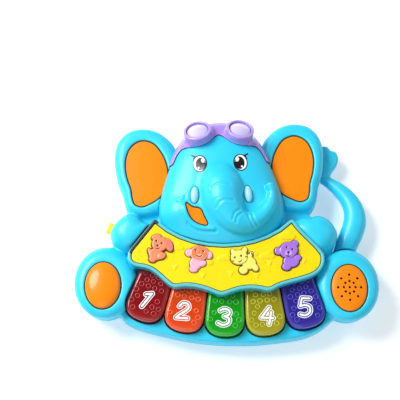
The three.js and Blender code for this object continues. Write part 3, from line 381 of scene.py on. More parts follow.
def brick(x, y, z, centre, size, r=0.3):
    """Distance to a box with rounded edges."""
    q = [np.abs(a - c) - s / 2 + r for a, c, s in zip((x, y, z), centre, size)]
    outside = np.sqrt(sum(np.maximum(a, 0) ** 2 for a in q))
    return outside + np.minimum(np.maximum(np.maximum(q[0], q[1]), q[2]), 0) - r


def fused(a, b, r):
    """The two solids together, with a fillet of about r where they meet."""
    h = np.clip(0.5 + 0.5 * (b - a) / r, 0, 1)
    return b + (a - b) * h - r * h * (1 - h)


def cut(a, b, r=0.0):
    """The first solid without the second."""
    return np.maximum(a, -b) if r == 0 else -fused(-a, b, r)


def both(a, b, r=0.0):
    """What the two solids share."""
    return np.maximum(a, b) if r == 0 else -fused(-a, -b, r)


def crown(outline, centre, base, rise, power, roundness, x, y, z):
    """A crowned body over an outline: full height at its centre and steep at its edge."""
    spokes = outline - np.array(centre)
    angles = np.arctan2(spokes[:, 1], spokes[:, 0])
    order = np.argsort(angles)
    reach = np.interp(np.arctan2(y - centre[1], x - centre[0]), angles[order],
                      np.hypot(*spokes.T)[order], period=2 * math.pi)
    share = np.clip(np.hypot(x - centre[0], y - centre[1]) / reach, 0.02, 3)
    up, high = np.clip((z - base) / rise, 0, 4), 1 / roundness
    slope = np.hypot(power * share ** (power - 1) / reach, high * up ** (high - 1) / rise)
    cap = (share**power + up**high - 1) / np.maximum(slope, 0.02)
    return np.maximum(cap, to_outline(outline, x, y))


def tube(knots, across, up, x, y, z, per=5):
    """A bent tube through the knots, whose half width and half height are given at each knot."""
    line = smooth(knots, per, closed=False)
    at = np.linspace(0, len(knots) - 1, len(line))
    wide, high = np.interp(at, range(len(knots)), across), np.interp(at, range(len(knots)), up)
    best = 1e9
    for i in range(len(line) - 1):
        a, e = line[i], line[i + 1] - line[i]
        t = np.clip(((x - a[0]) * e[0] + (y - a[1]) * e[1] + (z - a[2]) * e[2]) / (e @ e), 0, 1)
        squat = wide[i] / high[i]
        away = np.sqrt((x - a[0] - t * e[0]) ** 2 + (y - a[1] - t * e[1]) ** 2
                       + ((z - a[2] - t * e[2]) * squat) ** 2)
        best = np.minimum(best, away - wide[i] - t * (wide[i + 1] - wide[i]))
    return best


# ------------------------------------------------------------------ meshes from distances
def sample(field, at):
    """The field between its grid points, at places given in grid steps."""
    base = np.clip(np.floor(at).astype(int), 0, np.array(field.shape) - 2)
    part = np.clip(at - base, 0, 1)
    total = 0
    for corner in np.ndindex(2, 2, 2):
        weight = np.prod(np.where(corner, part, 1 - part), axis=1)
        total = total + weight * field[tuple((base + corner).T)]
    return total


def skin(field):
    """Points, in grid steps, and four-sided faces of the surface where the field is zero."""
    shape = np.array(field.shape) - 1
    sums = np.zeros((*shape, 3), np.float32)
    hits = np.zeros(shape, np.float32)
    for axis in range(3):
        one, two = [a for a in range(3) if a != axis]
        for u, v in ((0, 0), (0, 1), (1, 0), (1, 1)):
            low = [0, 0, 0]
            low[one], low[two] = u, v
            high = list(low)
            high[axis] = 1
            a = field[tuple(slice(o, o + n) for o, n in zip(low, shape))]
            b = field[tuple(slice(o, o + n) for o, n in zip(high, shape))]
            crossed = (a < 0) != (b < 0)
            hits += crossed
            sums[..., axis] += np.where(crossed, a / np.where(crossed, a - b, 1), 0)
            sums[..., one] += crossed * u
            sums[..., two] += crossed * v
    cells = np.argwhere(hits > 0)
    number = np.full(shape, -1)
    number[tuple(cells.T)] = np.arange(len(cells))
    points = cells + (sums[hits > 0] / hits[hits > 0][:, None])
    faces = []
    for axis in range(3):
        one, two = [a for a in range(3) if a != axis]
        a = [slice(1, -1)] * 3
        a[axis] = slice(0, -1)
        b = list(a)
        b[axis] = slice(1, None)
        start, end = field[tuple(a)] < 0, field[tuple(b)] < 0
        for leaving in (True, False):
            found = np.argwhere((start & ~end) if leaving else (~start & end))
            found += [0 if i == axis else 1 for i in range(3)]
            steps = np.zeros((4, 3), int)
            steps[0, [one, two]] = -1
            steps[1, two] = -1
            steps[3, one] = -1
            quad = np.stack([number[tuple((found + s).T)] for s in steps], 1)
            faces.append(quad if leaving == (axis != 1) else quad[:, ::-1])
    return points, np.concatenate(faces)


def relaxed(points, faces, field, rounds=4, pull=0.6, sharpness=5):
    """The points evened out along the surface, and how sharply the surface turns outwards at each."""
    a, b = faces.ravel(), np.roll(faces, -1, 1).ravel()
    degree = np.maximum(np.bincount(a, minlength=len(points)) * 1.0, 1)

    def slope_at(p):
        columns = []
        for axis in range(3):
            step = np.zeros(3)
            step[axis] = 0.5
            columns.append(sample(field, p + step) - sample(field, p - step))
        slope = np.stack(columns, 1)
        return slope / np.maximum(np.linalg.norm(slope, axis=1)[:, None], 1e-6) ** 2, slope

    def middle(p):
        return np.stack([np.bincount(a, p[b, i], len(p)) / degree for i in range(3)], 1)

    for _ in range(rounds):
        points = points + pull * (middle(points) - points)
        step, _ = slope_at(points)
        points = points - np.clip(sample(field, points)[:, None] * step, -0.5, 0.5)
    _, slope = slope_at(points)
    normal = slope / np.maximum(np.linalg.norm(slope, axis=1)[:, None], 1e-6)
    bulge = -np.sum((middle(points) - points) * normal, 1)
    return points, np.clip(bulge * sharpness, 0, 1)


def form(name, shape, low, high, step, place=None, tint=None):
    """A mesh object of the solid where shape(x, y, z) is negative."""
    low = np.array(low, float) - 2 * step
    counts = np.ceil((np.array(high, float) + 2 * step - low) / step).astype(int) + 1
    x, y, z = [
        (low[i] + step * np.arange(counts[i])).reshape([-1 if j == i else 1 for j in range(3)])
        for i in range(3)
    ]
    field = np.ascontiguousarray(np.broadcast_to(shape(x, y, z), counts), np.float32) / step
    points, faces = skin(field)
    points, bulge = relaxed(points, faces, field)
    points = points * step + low
    colours = tint(*points.T) if tint else None
    return object_of(name, place(points) if place else points, faces, bulge, colours)


def object_of(name, points, faces, bulge=None, colours=None):
    """A mesh object of points in the drawing, with its edge and tint attributes."""
    mesh = bpy.data.meshes.new(name)
    mesh.vertices.add(len(points))
    mesh.vertices.foreach_set("co", ((points + ORIGIN) * MM).astype(np.float32).ravel())
    if len(faces):
        sides = faces.shape[1]
        mesh.loops.add(faces.size)
        mesh.loops.foreach_set("vertex_index", faces.astype(np.int32).ravel())
        mesh.polygons.add(len(faces))
        mesh.polygons.foreach_set("loop_start", np.arange(len(faces), dtype=np.int32) * sides)
        mesh.polygons.foreach_set("use_smooth", np.ones(len(faces), bool))
    mesh.update(calc_edges=True)
    mesh.validate()
    if bulge is not None:
        mesh.attributes.new("edge", "FLOAT", "POINT").data.foreach_set("value", bulge.astype(np.float32))
    if colours is not None:
        rgba = np.ones((len(points), 4), np.float32)
        rgba[:, :3] = colours
        mesh.attributes.new("tint", "FLOAT_COLOR", "POINT").data.foreach_set("color", rgba.ravel())
    made = bpy.data.objects.new(name, mesh)
    bpy.context.scene.collection.objects.link(made)
    return made


def keep(piece, finish, body=BODY, nodes=()):
    """Gives a finished piece its material and its place in the frame."""
    piece.data.materials.clear()
    piece.data.materials.append(finish)
    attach(piece, body)
    if nodes:
        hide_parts(*nodes)
    return piece


# ------------------------------------------------------------------ colours and materials
def linear(*rgb):
    """A colour given as three 0 to 255 values, in linear light."""
    return tuple(c / 255 / 12.92 if c < 11 else ((c / 255 + 0.055) / 1.055) ** 2.4 for c in rgb)


# Paints of the small marks; some of them are painted shade and painted reflections.
EYE_WHITE, EYE_BLACK, EYE_PAINTED_SHEEN = linear(250, 252, 255), linear(8, 8, 12), linear(130, 130, 134)
CUP_PALE, LENS_PAINTED_SHEEN, LENS_RIM = linear(206, 184, 244), linear(228, 220, 248), linear(150, 122, 210)
TRAY_SHADE, STRAP_SHADE_BLUE, NUMERAL_WHITE = linear(0, 56, 62), linear(44, 40, 110), linear(252, 252, 255)
MONKEY_PINK, MONKEY_FACE, MONKEY_MUZZLE = linear(250, 178, 200), linear(250, 132, 74), linear(255, 168, 140)
BEAR_MUZZLE, DOG_EAR, DOG_MARKS = linear(196, 152, 240), linear(250, 120, 110), linear(90, 10, 20)


def colour_property(label, text, *rgb):
    """A colour that the user can change, given as three 0 to 255 values."""
    return FloatVectorProperty(name=label, description=text, subtype="COLOR", size=3, min=0, max=1,
                               default=linear(*rgb))


class ToyColours(bpy.types.PropertyGroup):
    blue: colour_property("Shell", "Housings, head and handle", 32, 204, 240)
    orange: colour_property("Inserts", "Ears, soles and mouth", 250, 136, 0)
    yellow: colour_property("Panel", "Button panel and power knob", 250, 216, 2)
    # The tray rim's paler teal is a painted reflection on the same blue plastic as the shell.
    rim: colour_property("Tray rim", "Raised edge round the button panel", 84, 198, 204)
    purple: colour_property("Goggles", "Goggle frame and strap", 168, 136, 226)
    lens: colour_property("Lenses", "Goggle lenses", 196, 186, 232)
    tusk: colour_property("Tusks", "Tusks", 160, 230, 243)
    # Dark bands of painted shade, put in the gaps between pieces.
    seam: colour_property("Seams", "Dark gaskets between pieces", 8, 44, 34)
    dog: colour_property("Dog", "First button", 246, 138, 92)
    monkey: colour_property("Monkey", "Second button", 250, 166, 150)
    cat: colour_property("Cat", "Third button", 250, 236, 104)
    bear: colour_property("Bear", "Fourth button", 168, 112, 222)
    key_1: colour_property("Key 1", "First key", 126, 0, 6)
    key_2: colour_property("Key 2", "Second key", 208, 62, 0)
    key_3: colour_property("Key 3", "Third key", 4, 144, 10)
    key_4: colour_property("Key 4", "Fourth key", 146, 140, 2)
    key_5: colour_property("Key 5", "Fifth key", 40, 30, 138)
    floor: colour_property("Floor", "Plain studio floor", 250, 251, 252)


class ToySizes(bpy.types.PropertyGroup):
    shell_step: FloatProperty(name="Shell fineness", description="Face size of the housings",
                              default=1.15 * MM, min=0.5 * MM, unit="LENGTH")
    ring_diameter: FloatProperty(name="Key ring", description="Middle diameter of the rings in the keys",
                                 default=4.2 * MM, min=1 * MM, unit="LENGTH")
    ring_thickness: FloatProperty(name="Key ring thickness", description="Thickness of the rings",
                                  default=0.95 * MM, min=0.2 * MM, unit="LENGTH")
    ring_spacing: FloatProperty(name="Key ring spacing", description="Distance between neighbouring rings",
                                default=6.6 * MM, min=2 * MM, unit="LENGTH")
    stroke: FloatProperty(name="Numeral stroke", description="Half width of a numeral's white core",
                          default=1.0 * MM, min=0.3 * MM, unit="LENGTH")
    hole_radius: FloatProperty(name="Grille hole", description="Radius of the speaker holes",
                               default=1.2 * MM, min=0.3 * MM, unit="LENGTH")
    hole_count: IntProperty(name="Holes in a ring", description="Speaker holes in each ring", default=8)
    elevation: FloatProperty(name="Camera elevation", description="Angle of the camera above the floor",
                             default=math.radians(72), subtype="ANGLE")
    distance: FloatProperty(name="Camera distance", description="From the camera to the toy",
                            default=1.1, unit="LENGTH")


def colours():
    """The scene's toy colours."""
    return bpy.context.scene.toy_colours


def sizes():
    """The scene's toy sizes."""
    return bpy.context.scene.toy_sizes


# How far a surface's roughness strays, the depth of its grain and the roughness of its coat.
SMOOTHEST, SMOOTHER, ROUGHER, GRAIN_DEPTH, COAT_ROUGHNESS = 0.02, 0.05, 0.07, 0.05 * MM, 0.08


def plastic(name, colour=None, rough=0.26, coat=0.45, grain=0.25, wear=0.3, metal=0.0,
            light=1.05, dark=0.93, broad=42.0, fine=900.0, shine=0.5):
    """Moulded plastic: slow colour drift, fine grain, uneven gloss and edges paler where they bend sharply
    outwards.

    Without a colour the piece's own tint attribute gives it.
    """
    material = bpy.data.materials.new(name)
    material.use_nodes = True
    nodes, links = material.node_tree.nodes, material.node_tree.links
    shader = nodes["Principled BSDF"]
    where = nodes.new("ShaderNodeTexCoord").outputs["Object"]

    def noise(scale, detail):
        node = nodes.new("ShaderNodeTexNoise")
        node.inputs["Scale"].default_value = scale
        node.inputs["Detail"].default_value = detail
        links.new(where, node.inputs["Vector"])
        return node.outputs["Fac"]

    def mix(kind, factor, first, second):
        node = nodes.new("ShaderNodeMix")
        node.data_type = "RGBA"
        node.blend_type = kind
        for socket, value in ((node.inputs[0], factor), (node.inputs[6], first), (node.inputs[7], second)):
            if isinstance(value, bpy.types.NodeSocket):
                links.new(value, socket)
            else:
                socket.default_value = value
        return node.outputs[2]

    def attribute(label):
        node = nodes.new("ShaderNodeAttribute")
        node.attribute_name = label
        return node

    drift, specks = noise(broad, 2), noise(fine, 3)
    if colour is None:
        shade = mix("MIX", drift, (dark,) * 3 + (1,), (light,) * 3 + (1,))
        base = mix("MULTIPLY", 1.0, attribute("tint").outputs["Color"], shade)
        pale = (1, 1, 1, 1)
        wear *= 0.5
    else:
        base = mix("MIX", drift, (*[c * dark for c in colour], 1), (*[min(1, c * light) for c in colour], 1))
        pale = (*[min(1, c * 1.25 + 0.12) for c in colour], 1)
    # Edges turn paler as far as the edge attribute says the surface bends sharply outwards.
    edge_paled = nodes.new("ShaderNodeMath")
    edge_paled.operation = "MULTIPLY"
    links.new(attribute("edge").outputs["Fac"], edge_paled.inputs[0])
    edge_paled.inputs[1].default_value = wear
    links.new(mix("MIX", edge_paled.outputs[0], base, pale), shader.inputs["Base Color"])
    gloss = nodes.new("ShaderNodeMapRange")
    links.new(specks, gloss.inputs["Value"])
    gloss.inputs["To Min"].default_value = max(SMOOTHEST, rough - SMOOTHER)
    gloss.inputs["To Max"].default_value = rough + ROUGHER
    links.new(gloss.outputs["Result"], shader.inputs["Roughness"])
    bump = nodes.new("ShaderNodeBump")
    bump.inputs["Strength"].default_value = grain
    bump.inputs["Distance"].default_value = GRAIN_DEPTH
    links.new(specks, bump.inputs["Height"])
    links.new(bump.outputs["Normal"], shader.inputs["Normal"])
    shader.inputs["Metallic"].default_value = metal
    shader.inputs["Specular IOR Level"].default_value = shine
    shader.inputs["Coat Weight"].default_value = coat
    shader.inputs["Coat Roughness"].default_value = COAT_ROUGHNESS
    return material


_made = {}


def finish(name, *args, **more):
    """The material of that name, made the first time it is asked for."""
    if name not in _made:
        _made[name] = plastic(name, *args, **more)
    return _made[name]


def shell_finish():
    """The satin blue of the housings."""
    return finish("blue_shell_plastic", colours().blue, rough=0.42, coat=0.12)


def gap_shade_finish():
    """The dull dark green of the painted shade in the gaps between pieces."""
    return finish("dark_gasket", colours().seam, rough=0.6, coat=0.0, shine=0.15)


def toned(x, *choices, base):
    """A colour for each point: the base, painted over by each choice as far as its mask reaches."""
    result = np.tile(np.array(base, float), (len(x), 1))
    for mask, colour in choices:
        part = np.clip(np.asarray(mask, float), 0, 1)[:, None]
        result = result * (1 - part) + np.array(colour) * part
    return result


# ------------------------------------------------------------------ geometry node trees
def new_tree(name, inputs):
    """An empty tree with named inputs, and functions that add its nodes and close it."""
    tree = bpy.data.node_groups.new(name, "GeometryNodeTree")
    tree.interface.new_socket("Geometry", in_out="INPUT", socket_type="NodeSocketGeometry")
    tree.interface.new_socket("Geometry", in_out="OUTPUT", socket_type="NodeSocketGeometry")
    for label, kind in inputs.items():
        tree.interface.new_socket(label, in_out="INPUT", socket_type="NodeSocket" + kind)
    source, sink = tree.nodes.new("NodeGroupInput"), tree.nodes.new("NodeGroupOutput")

    def add(kind, links=None, **settings):
        node = tree.nodes.new(kind)
        for label, value in settings.items():
            setattr(node, label, value)
        for label, value in (links or {}).items():
            socket = node.inputs[label]
            if isinstance(value, bpy.types.NodeSocket):
                tree.links.new(value, socket)
            else:
                socket.default_value = value
        return node

    def close(geometry):
        real = add("GeometryNodeRealizeInstances", {"Geometry": geometry}).outputs["Geometry"]
        coated = add("GeometryNodeSetMaterial", {"Geometry": real, "Material": source.outputs["Material"]})
        tree.links.new(coated.outputs["Geometry"], sink.inputs["Geometry"])
        return tree

    return source.outputs, add, close


def grow(piece, tree, values):
    """Runs a tree on a piece and keeps the result as the piece's plain mesh."""
    modifier = piece.modifiers.new(tree.name, "NODES")
    modifier.node_group = tree
    for item in tree.interface.items_tree:
        if item.item_type == "SOCKET" and item.in_out == "INPUT" and item.name in values:
            modifier[item.identifier] = values[item.name]
    bpy.context.view_layer.update()
    result = bpy.data.meshes.new_from_object(piece.evaluated_get(bpy.context.evaluated_depsgraph_get()))
    piece.modifiers.remove(modifier)
    piece.data = result
    result.polygons.foreach_set("use_smooth", np.ones(len(result.polygons), bool))
    return piece


def ring_tree():
    """A thin ring on every point."""
    given, add, close = new_tree("Key rings", {
        "Diameter": "Float", "Thickness": "Float", "Material": "Material",
    })
    half = add("ShaderNodeMath", {0: given["Diameter"], 1: 0.5}, operation="MULTIPLY").outputs[0]
    thin = add("ShaderNodeMath", {0: given["Thickness"], 1: 0.5}, operation="MULTIPLY").outputs[0]
    line = add("GeometryNodeCurvePrimitiveCircle", {"Resolution": 14, "Radius": half})
    section = add("GeometryNodeCurvePrimitiveCircle", {"Resolution": 6, "Radius": thin})
    ring = add("GeometryNodeCurveToMesh", {
        "Curve": line.outputs["Curve"], "Profile Curve": section.outputs["Curve"],
    })
    # Inputs 2 and 3 are the smallest and the largest float.
    size = add("FunctionNodeRandomValue", {2: 0.9, 3: 1.08, "Seed": 4}, data_type="FLOAT")
    placed = add("GeometryNodeInstanceOnPoints", {
        "Points": given["Geometry"], "Instance": ring.outputs["Mesh"], "Scale": size.outputs[1],
    })
    return close(placed.outputs["Instances"])


def grille_tree():
    """One hole in the middle and two oval rings of holes, drilled through the piece."""
    given, add, close = new_tree("Grille holes", {
        "Centre": "Vector", "Hole radius": "Float", "Count": "Int", "Material": "Material",
    })
    groups = [add("GeometryNodeMeshLine", {"Count": 1}).outputs["Mesh"]]
    for across, along in HOLE_RINGS:
        ring = add("GeometryNodeMeshCircle", {"Vertices": given["Count"], "Radius": 1.0})
        oval = add("GeometryNodeTransform", {
            "Geometry": ring.outputs["Mesh"], "Scale": (across * MM, along * MM, 1),
        })
        groups.append(oval.outputs["Geometry"])
    joined = add("GeometryNodeJoinGeometry")
    for group in groups:
        joined.id_data.links.new(group, joined.inputs["Geometry"])
    peg = add("GeometryNodeMeshCylinder", {
        "Vertices": 14, "Radius": given["Hole radius"], "Depth": 20 * MM,
    })
    pegs = add("GeometryNodeInstanceOnPoints", {
        "Points": joined.outputs["Geometry"], "Instance": peg.outputs["Mesh"],
    })
    real = add("GeometryNodeRealizeInstances", {"Geometry": pegs.outputs["Instances"]})
    moved = add("GeometryNodeTransform", {
        "Geometry": real.outputs["Geometry"], "Translation": given["Centre"],
    })
    drilled = add("GeometryNodeMeshBoolean", operation="DIFFERENCE", solver="EXACT")
    drilled.id_data.links.new(given["Geometry"], drilled.inputs["Mesh 1"])
    drilled.id_data.links.new(moved.outputs["Geometry"], drilled.inputs["Mesh 2"])
    return close(drilled.outputs["Mesh"])


def screw_tree():
    """A copy of the screw on every point."""
    given, add, close = new_tree("Screws", {"Screw": "Object", "Material": "Material"})
    screw = add("GeometryNodeObjectInfo", {"Object": given["Screw"]}).outputs["Geometry"]
    placed = add("GeometryNodeInstanceOnPoints", {"Points": given["Geometry"], "Instance": screw})
    return close(placed.outputs["Instances"])


# ------------------------------------------------------------------ shells
def ear_of(side, points=EAR):
    """An ear's outline in the drawing."""
    return from_head(mirrored(points) if side == "left" else points)


def foot_flat(side, x, y, z):
    """Flat distance to a foot, which leans towards the apron's edge above the parting line."""
    tall = Z_FOOT - Z_PARTING
    lean = FOOT_LEAN * np.clip(z - Z_PARTING, 0, tall) / tall
    return ball(FOOT[side], FOOT_RADII, x, y - lean)


def sole_flat(side, x, y):
    """Flat distance to a sole's oval."""
    return ball(SOLE[side], SOLE_RADII, x, y)


def wells(x, y, margin):
    """Flat distance to the five key wells, wider than the keys by the margin."""
    return np.minimum.reduce([to_outline(from_key(i)(KEY), x, y) - margin for i in KEYS])


def fan_flat(x, y, inner, outer, start, end):
    """Flat distance to a stretch of the keys' fan, between two radii and two angles."""
    radius = np.hypot(x - APEX[0], y - APEX[1])
    angle = np.degrees(np.arctan2(x - APEX[0], APEX[1] - y))
    aside = np.maximum(start - angle, angle - end) * radius * math.radians(1)
    return np.maximum(np.maximum(radius - outer, inner - radius), aside)


def front_shape(x, y, z):
    """The front housing: apron, ears, feet and arms round the head, the tray and the key wells."""
    start, end = key_angle(-0.5), key_angle(len(KEYS) - 0.5)
    body = slab(to_outline(TORSO, x, y), z, Z_UNDER, Z_APRON, APRON_EDGE)
    plate = to_outline(PLATE, x, y)
    head = to_outline(from_head(HEAD), x, y)
    deck = np.maximum(plate - TRAY_RIM, -fan_flat(x, y, *SHOULDER_RADII, start - 0.9, end + 0.9))
    for side in SIDES:
        ear, foot = to_outline(ear_of(side), x, y), foot_flat(side, x, y, z)
        body = fused(body, slab(ear, z, Z_UNDER, Z_EAR, EAR_EDGE), EAR_FILLET)
        body = fused(body, slab(foot, z, Z_UNDER, Z_FOOT, FOOT_EDGE), LIMB_FILLET)
        body = fused(body, crown(*ARMS[side], *ARM_CROWN, x, y, z), LIMB_FILLET)
    body = np.minimum(body, slab(head, z, Z_UNDER, Z_FACE, 1))
    body = fused(body, slab(deck, z, Z_UNDER, Z_DECK, 1), DECK_FILLET)
    body = cut(body, slab(head - HEAD_ROOM, z, Z_FACE, Z_OVER, 0.3), 0.5)
    # The gap round the tray is wider on the left.
    room = TRAY_ROOM + TRAY_EXTRA / (1 + np.exp(x / 15))
    body = cut(body, slab(plate - room, z, Z_DECK, Z_OVER, 0.3), 0.8)
    body = cut(body, wells(x, y, KEY_ROOM), 1.0)
    body = cut(body, slab(fan_flat(x, y, *SLOT_RADII, start - 0.5, end + 0.5), z, Z_UNDER, Z_SLOT))
    for side in SIDES:
        insert = to_outline(ear_of(side, EAR_INSERT), x, y)
        body = cut(body, slab(insert - INSERT_ROOM, z, Z_POCKET, Z_OVER), 1.6)
        body = cut(body, sole_flat(side, x, y) - INSERT_ROOM, 1.6)
    body = within(body, y)
    return both(cut(body, body + WALL), Z_PARTING + PARTING_GAP - z, 0.5)


def in_switch(x, y):
    """Places along the power switch's own axes."""
    c, s = math.cos(SWITCH_TURN), math.sin(SWITCH_TURN)
    dx, dy = x - SWITCH_AT[0], y - SWITCH_AT[1]
    return dx * c - dy * s, dx * s + dy * c


def door_flat(x, y):
    """Flat distance to the battery door: a plate with a tab for its screw."""
    parts = [
        np.maximum(np.abs(x - at[0]) - half[0], np.abs(y - at[1]) - half[1])
        for at, half in ((DOOR_AT, DOOR_HALF), (DOOR_TAB_AT, DOOR_TAB_HALF))
    ]
    return np.minimum(*parts)


def flat_centre(box):
    """The middle of a frame box, seen from above, in the drawing."""
    return ((box[0] + box[1]) / 2 / MM - Vector(ORIGIN))[:2]


def rear_shape(x, y, z):
    """The rear housing with its rest pads, screw wells, battery bay and switch window."""
    flats = [to_outline(TORSO, x, y), to_outline(from_head(HEAD), x, y)]
    for side in SIDES:
        flats += [to_outline(ear_of(side), x, y), ball(FOOT[side], FOOT_RADII, x, y),
                  to_outline(ARMS[side][0], x, y)]
    body, *others = [slab(flat, z, Z_BACK, Z_REAR_OVER, 1, 6) for flat in flats]
    for other in others:
        body = fused(body, other, 2)
    for at in PADS:
        body = fused(body, slab(ball(at, [PAD_RADIUS] * 2, x, y), z, 0, 6, 0.5, 1.2), 0.8)
    for name in HOUSING_SCREWS:
        well = ball(flat_centre(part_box(name)), [SCREW_WELL_RADIUS] * 2, x, y)
        body = cut(body, slab(well, z, Z_REAR_UNDER, SCREW_WELL_TOP), 0.5)
    body = cut(body, slab(door_flat(x, y) - DOOR_GAP, z, Z_REAR_UNDER, Z_DOOR_TOP), 0.4)
    body = within(cut(body, brick(x, y, z, (*DOOR_AT, 5), BATTERY_BAY)), y)
    body = cut(body, body + WALL)
    sx, sy = in_switch(x, y)
    body = cut(body, brick(sx, sy, z, *SWITCH_WINDOW))
    return both(body, z - Z_PARTING + PARTING_GAP, 0.5)


def door_shape(x, y, z):
    """The battery door with three finger grooves and its screw's well."""
    body = slab(door_flat(x, y), z, Z_BACK, Z_DOOR_TOP, 0.3, 0.5)
    for y_groove in (66, 63, 60):
        body = cut(body, brick(x, y, z, (DOOR_AT[0], y_groove, Z_BACK), (18, 1.2, 1.4), 0.3), 0.3)
    hole = ball(DOOR_SCREW_AT, (3.1, 3.1), x, y)
    return cut(body, slab(hole, z, -5, Z_BACK + 1.3), 0.3)


def handle_shape(x, y, z):
    """The tail: a loop to carry the toy by, with a tuft at its upper end."""
    loop = tube(HANDLE, HANDLE_ACROSS, HANDLE_UP, x, y, z)
    tip = slab(to_outline(TUFT, x, y), z, 8, 19.6, 4, 2.5)
    for centre, radius in TUFT_LOBES:
        tip = fused(tip, ball((*centre, TUFT_MIDDLE), (radius, radius, TUFT_HALF), x, y, z), 1.5)
    body = fused(loop, both(tip, slab(to_outline(TUFT, x, y), z, 8, 20, 3), 1), 2)
    near = [to_outline(ear_of("right"), x, y), ball(FOOT["right"], FOOT_RADII, x, y),
            to_outline(ARMS["right"][0], x, y), to_outline(TORSO, x, y)]
    return cut(body, np.minimum.reduce(near) - TAIL_ROOM, 0.4)


def head_shape(x, y, z):
    """The head's outer skin with its trunk, cheeks, lip and folds."""
    body = crown(HEAD, HEAD_CENTRE, *HEAD_CROWN, x, y, z)
    body = fused(body, ball(CHEEK_AT, CHEEK_RADII, x, y, z), 4)
    body = body + DENT_DEPTH * np.exp(-((x - DENT_AT[0]) ** 2 + (y - DENT_AT[1]) ** 2) / DENT_SPREAD)
    nose = tube(TRUNK, TRUNK_ACROSS, TRUNK_UP, x, y, z)
    beyond_tip = np.maximum(TIP_AT[1] - y + (x - TIP_AT[0]) * TIP_SLANT, TIP_FROM - x)
    nose = cut(nose, beyond_tip, 1.2)
    nose = cut(nose, ball(NOSTRIL_AT, NOSTRIL_RADII, x, y, z), 0.7)
    # The trunk melts into the left cheek and stays crisp on the right.
    softness = 2 + 5 / (1 + np.exp((x + 8) / 4))
    body = fused(body, nose, softness)
    for line in FOLDS:
        away = to_line(smooth(line, 5, closed=False), x, y)
        body = body + FOLD_DEPTH * np.exp(-((away / FOLD_WIDTH) ** 2))
        body = body - BANK_HEIGHT * np.exp(-(((away - BANK_AWAY) / BANK_WIDTH) ** 2))
    away = to_line(smooth(LIP, 5, closed=False), x, y)
    return body - LIP_HEIGHT * np.exp(-((away / LIP_WIDTH) ** 2))


def eye_flat(side, x, y):
    """Flat distance to an eye with its lash and its upper lid."""
    oval = ball((side * EYE_AT[0], EYE_AT[1]), EYE_RADII, x, y)
    lash = to_line(LASH * [side, 1], x, y) - LASH_HALF
    return np.minimum.reduce([oval, lash, to_line(BROW * [side, 1], x, y) - BROW_HALF])


def tusk_solid(side, growth, x, y, z):
    """A tusk, or its larger socket; the left one stands a little higher."""
    centre = (side * TUSK_AT[0], TUSK_AT[1], TUSK_AT[2] - side)
    return ball(centre, [r + growth for r in TUSK_RADII], x, y, z, turn=side * TUSK_TURN)


def pocket(flat, surface, depth):
    """What lies under a flat outline, down to a depth below the surface."""
    return np.maximum(flat, -(surface + depth))


def head_shell_shape(x, y, z):
    """The hollow head with its mouth, its tusk sockets and room for the tray."""
    surface = head_shape(x, y, z)
    body = cut(surface, surface + WALL + HEAD_EXTRA_WALL)
    body = cut(body, pocket(to_outline(MOUTH, x, y) - MOUTH_ROOM, surface, MOUTH_DEPTH + 0.1), 0.5)
    for side in (-1, 1):
        body = cut(body, tusk_solid(side, TUSK_GAP, x, y, z), 0.5)
    drawing = from_head(np.stack(np.broadcast_arrays(x, y), -1))
    body = cut(body, to_outline(PLATE, drawing[..., 0], drawing[..., 1]) - 3.8)
    return both(body, Z_FACE + 0.3 - z, 0.4)


class TOY_OT_shells(bpy.types.Operator):
    """Make the front and rear housings, the battery door and the tail handle."""

    bl_idname = "toy.shells"
    bl_label = "Housings"

    def execute(self, context):
        step = sizes().shell_step / MM
        for name, node, shape, span, fineness in (
            ("front_shell", "front_housing", front_shape, FRONT_SPAN, step),
            ("rear_shell", "rear_housing", rear_shape, REAR_SPAN, 1.06 * step),
            ("door_panel", "battery_door", door_shape, DOOR_SPAN, 0.55),
            ("tail_loop", "tail_handle", handle_shape, TAIL_SPAN, 0.8),
        ):
            keep(form(name, shape, *span, fineness), shell_finish(), nodes=[node])
        return {"FINISHED"}


class TOY_OT_head(bpy.types.Operator):
    """Make the head shell with its curled trunk."""

    bl_idname = "toy.head"
    bl_label = "Head and trunk"

    def execute(self, context):
        keep(form("head_skin", head_shell_shape, *HEAD_SPAN, 0.85, place=from_head),
             shell_finish(), nodes=["head_shell"])
        return {"FINISHED"}


def seam(name, flat, low, high, z_low, z_high, width=0.75, place=None, step=0.4):
    """A thin dark band that follows an outline: painted shade in the gap there."""
    piece = form(name, lambda x, y, z: slab(np.abs(flat(x, y)) - width, z, z_low, z_high, 0.2),
                 (*low, z_low), (*high, z_high), step, place=place)
    return keep(piece, gap_shade_finish())


class TOY_OT_inserts(bpy.types.Operator):
    """Make the flat inserts of the ears and the dark outlines round them, painted shade in the gaps."""

    bl_idname = "toy.inserts"
    bl_label = "Ear inserts"

    def execute(self, context):
        orange = finish("orange_plastic", colours().orange, rough=0.4, coat=0.1, shine=0.2)
        for side in SIDES:
            outline = mirrored(EAR_INSERT) if side == "left" else EAR_INSERT
            low, high = outline.min(0) - 1, outline.max(0) + 1

            def insert(x, y, z, outline=outline):
                edge = to_outline(outline, x, y)
                swell = 0.5 * np.clip(-edge / 12, 0, 1)
                return slab(edge + 0.2, z - swell, *INSERT_LAYER, 0.7)

            piece = form(f"{side}_ear_face", insert, (*low, 33), (*high, 35.6), 0.5, place=from_head)
            keep(piece, orange, nodes=[f"{side}_ear_insert"])
            # A dark ring of painted shade in the gap round the insert.
            seam(f"{side}_ear_seam", lambda x, y, o=outline: to_outline(o, x, y), low, high,
                 *EAR_SHADE_LAYER, place=from_head)
        return {"FINISHED"}


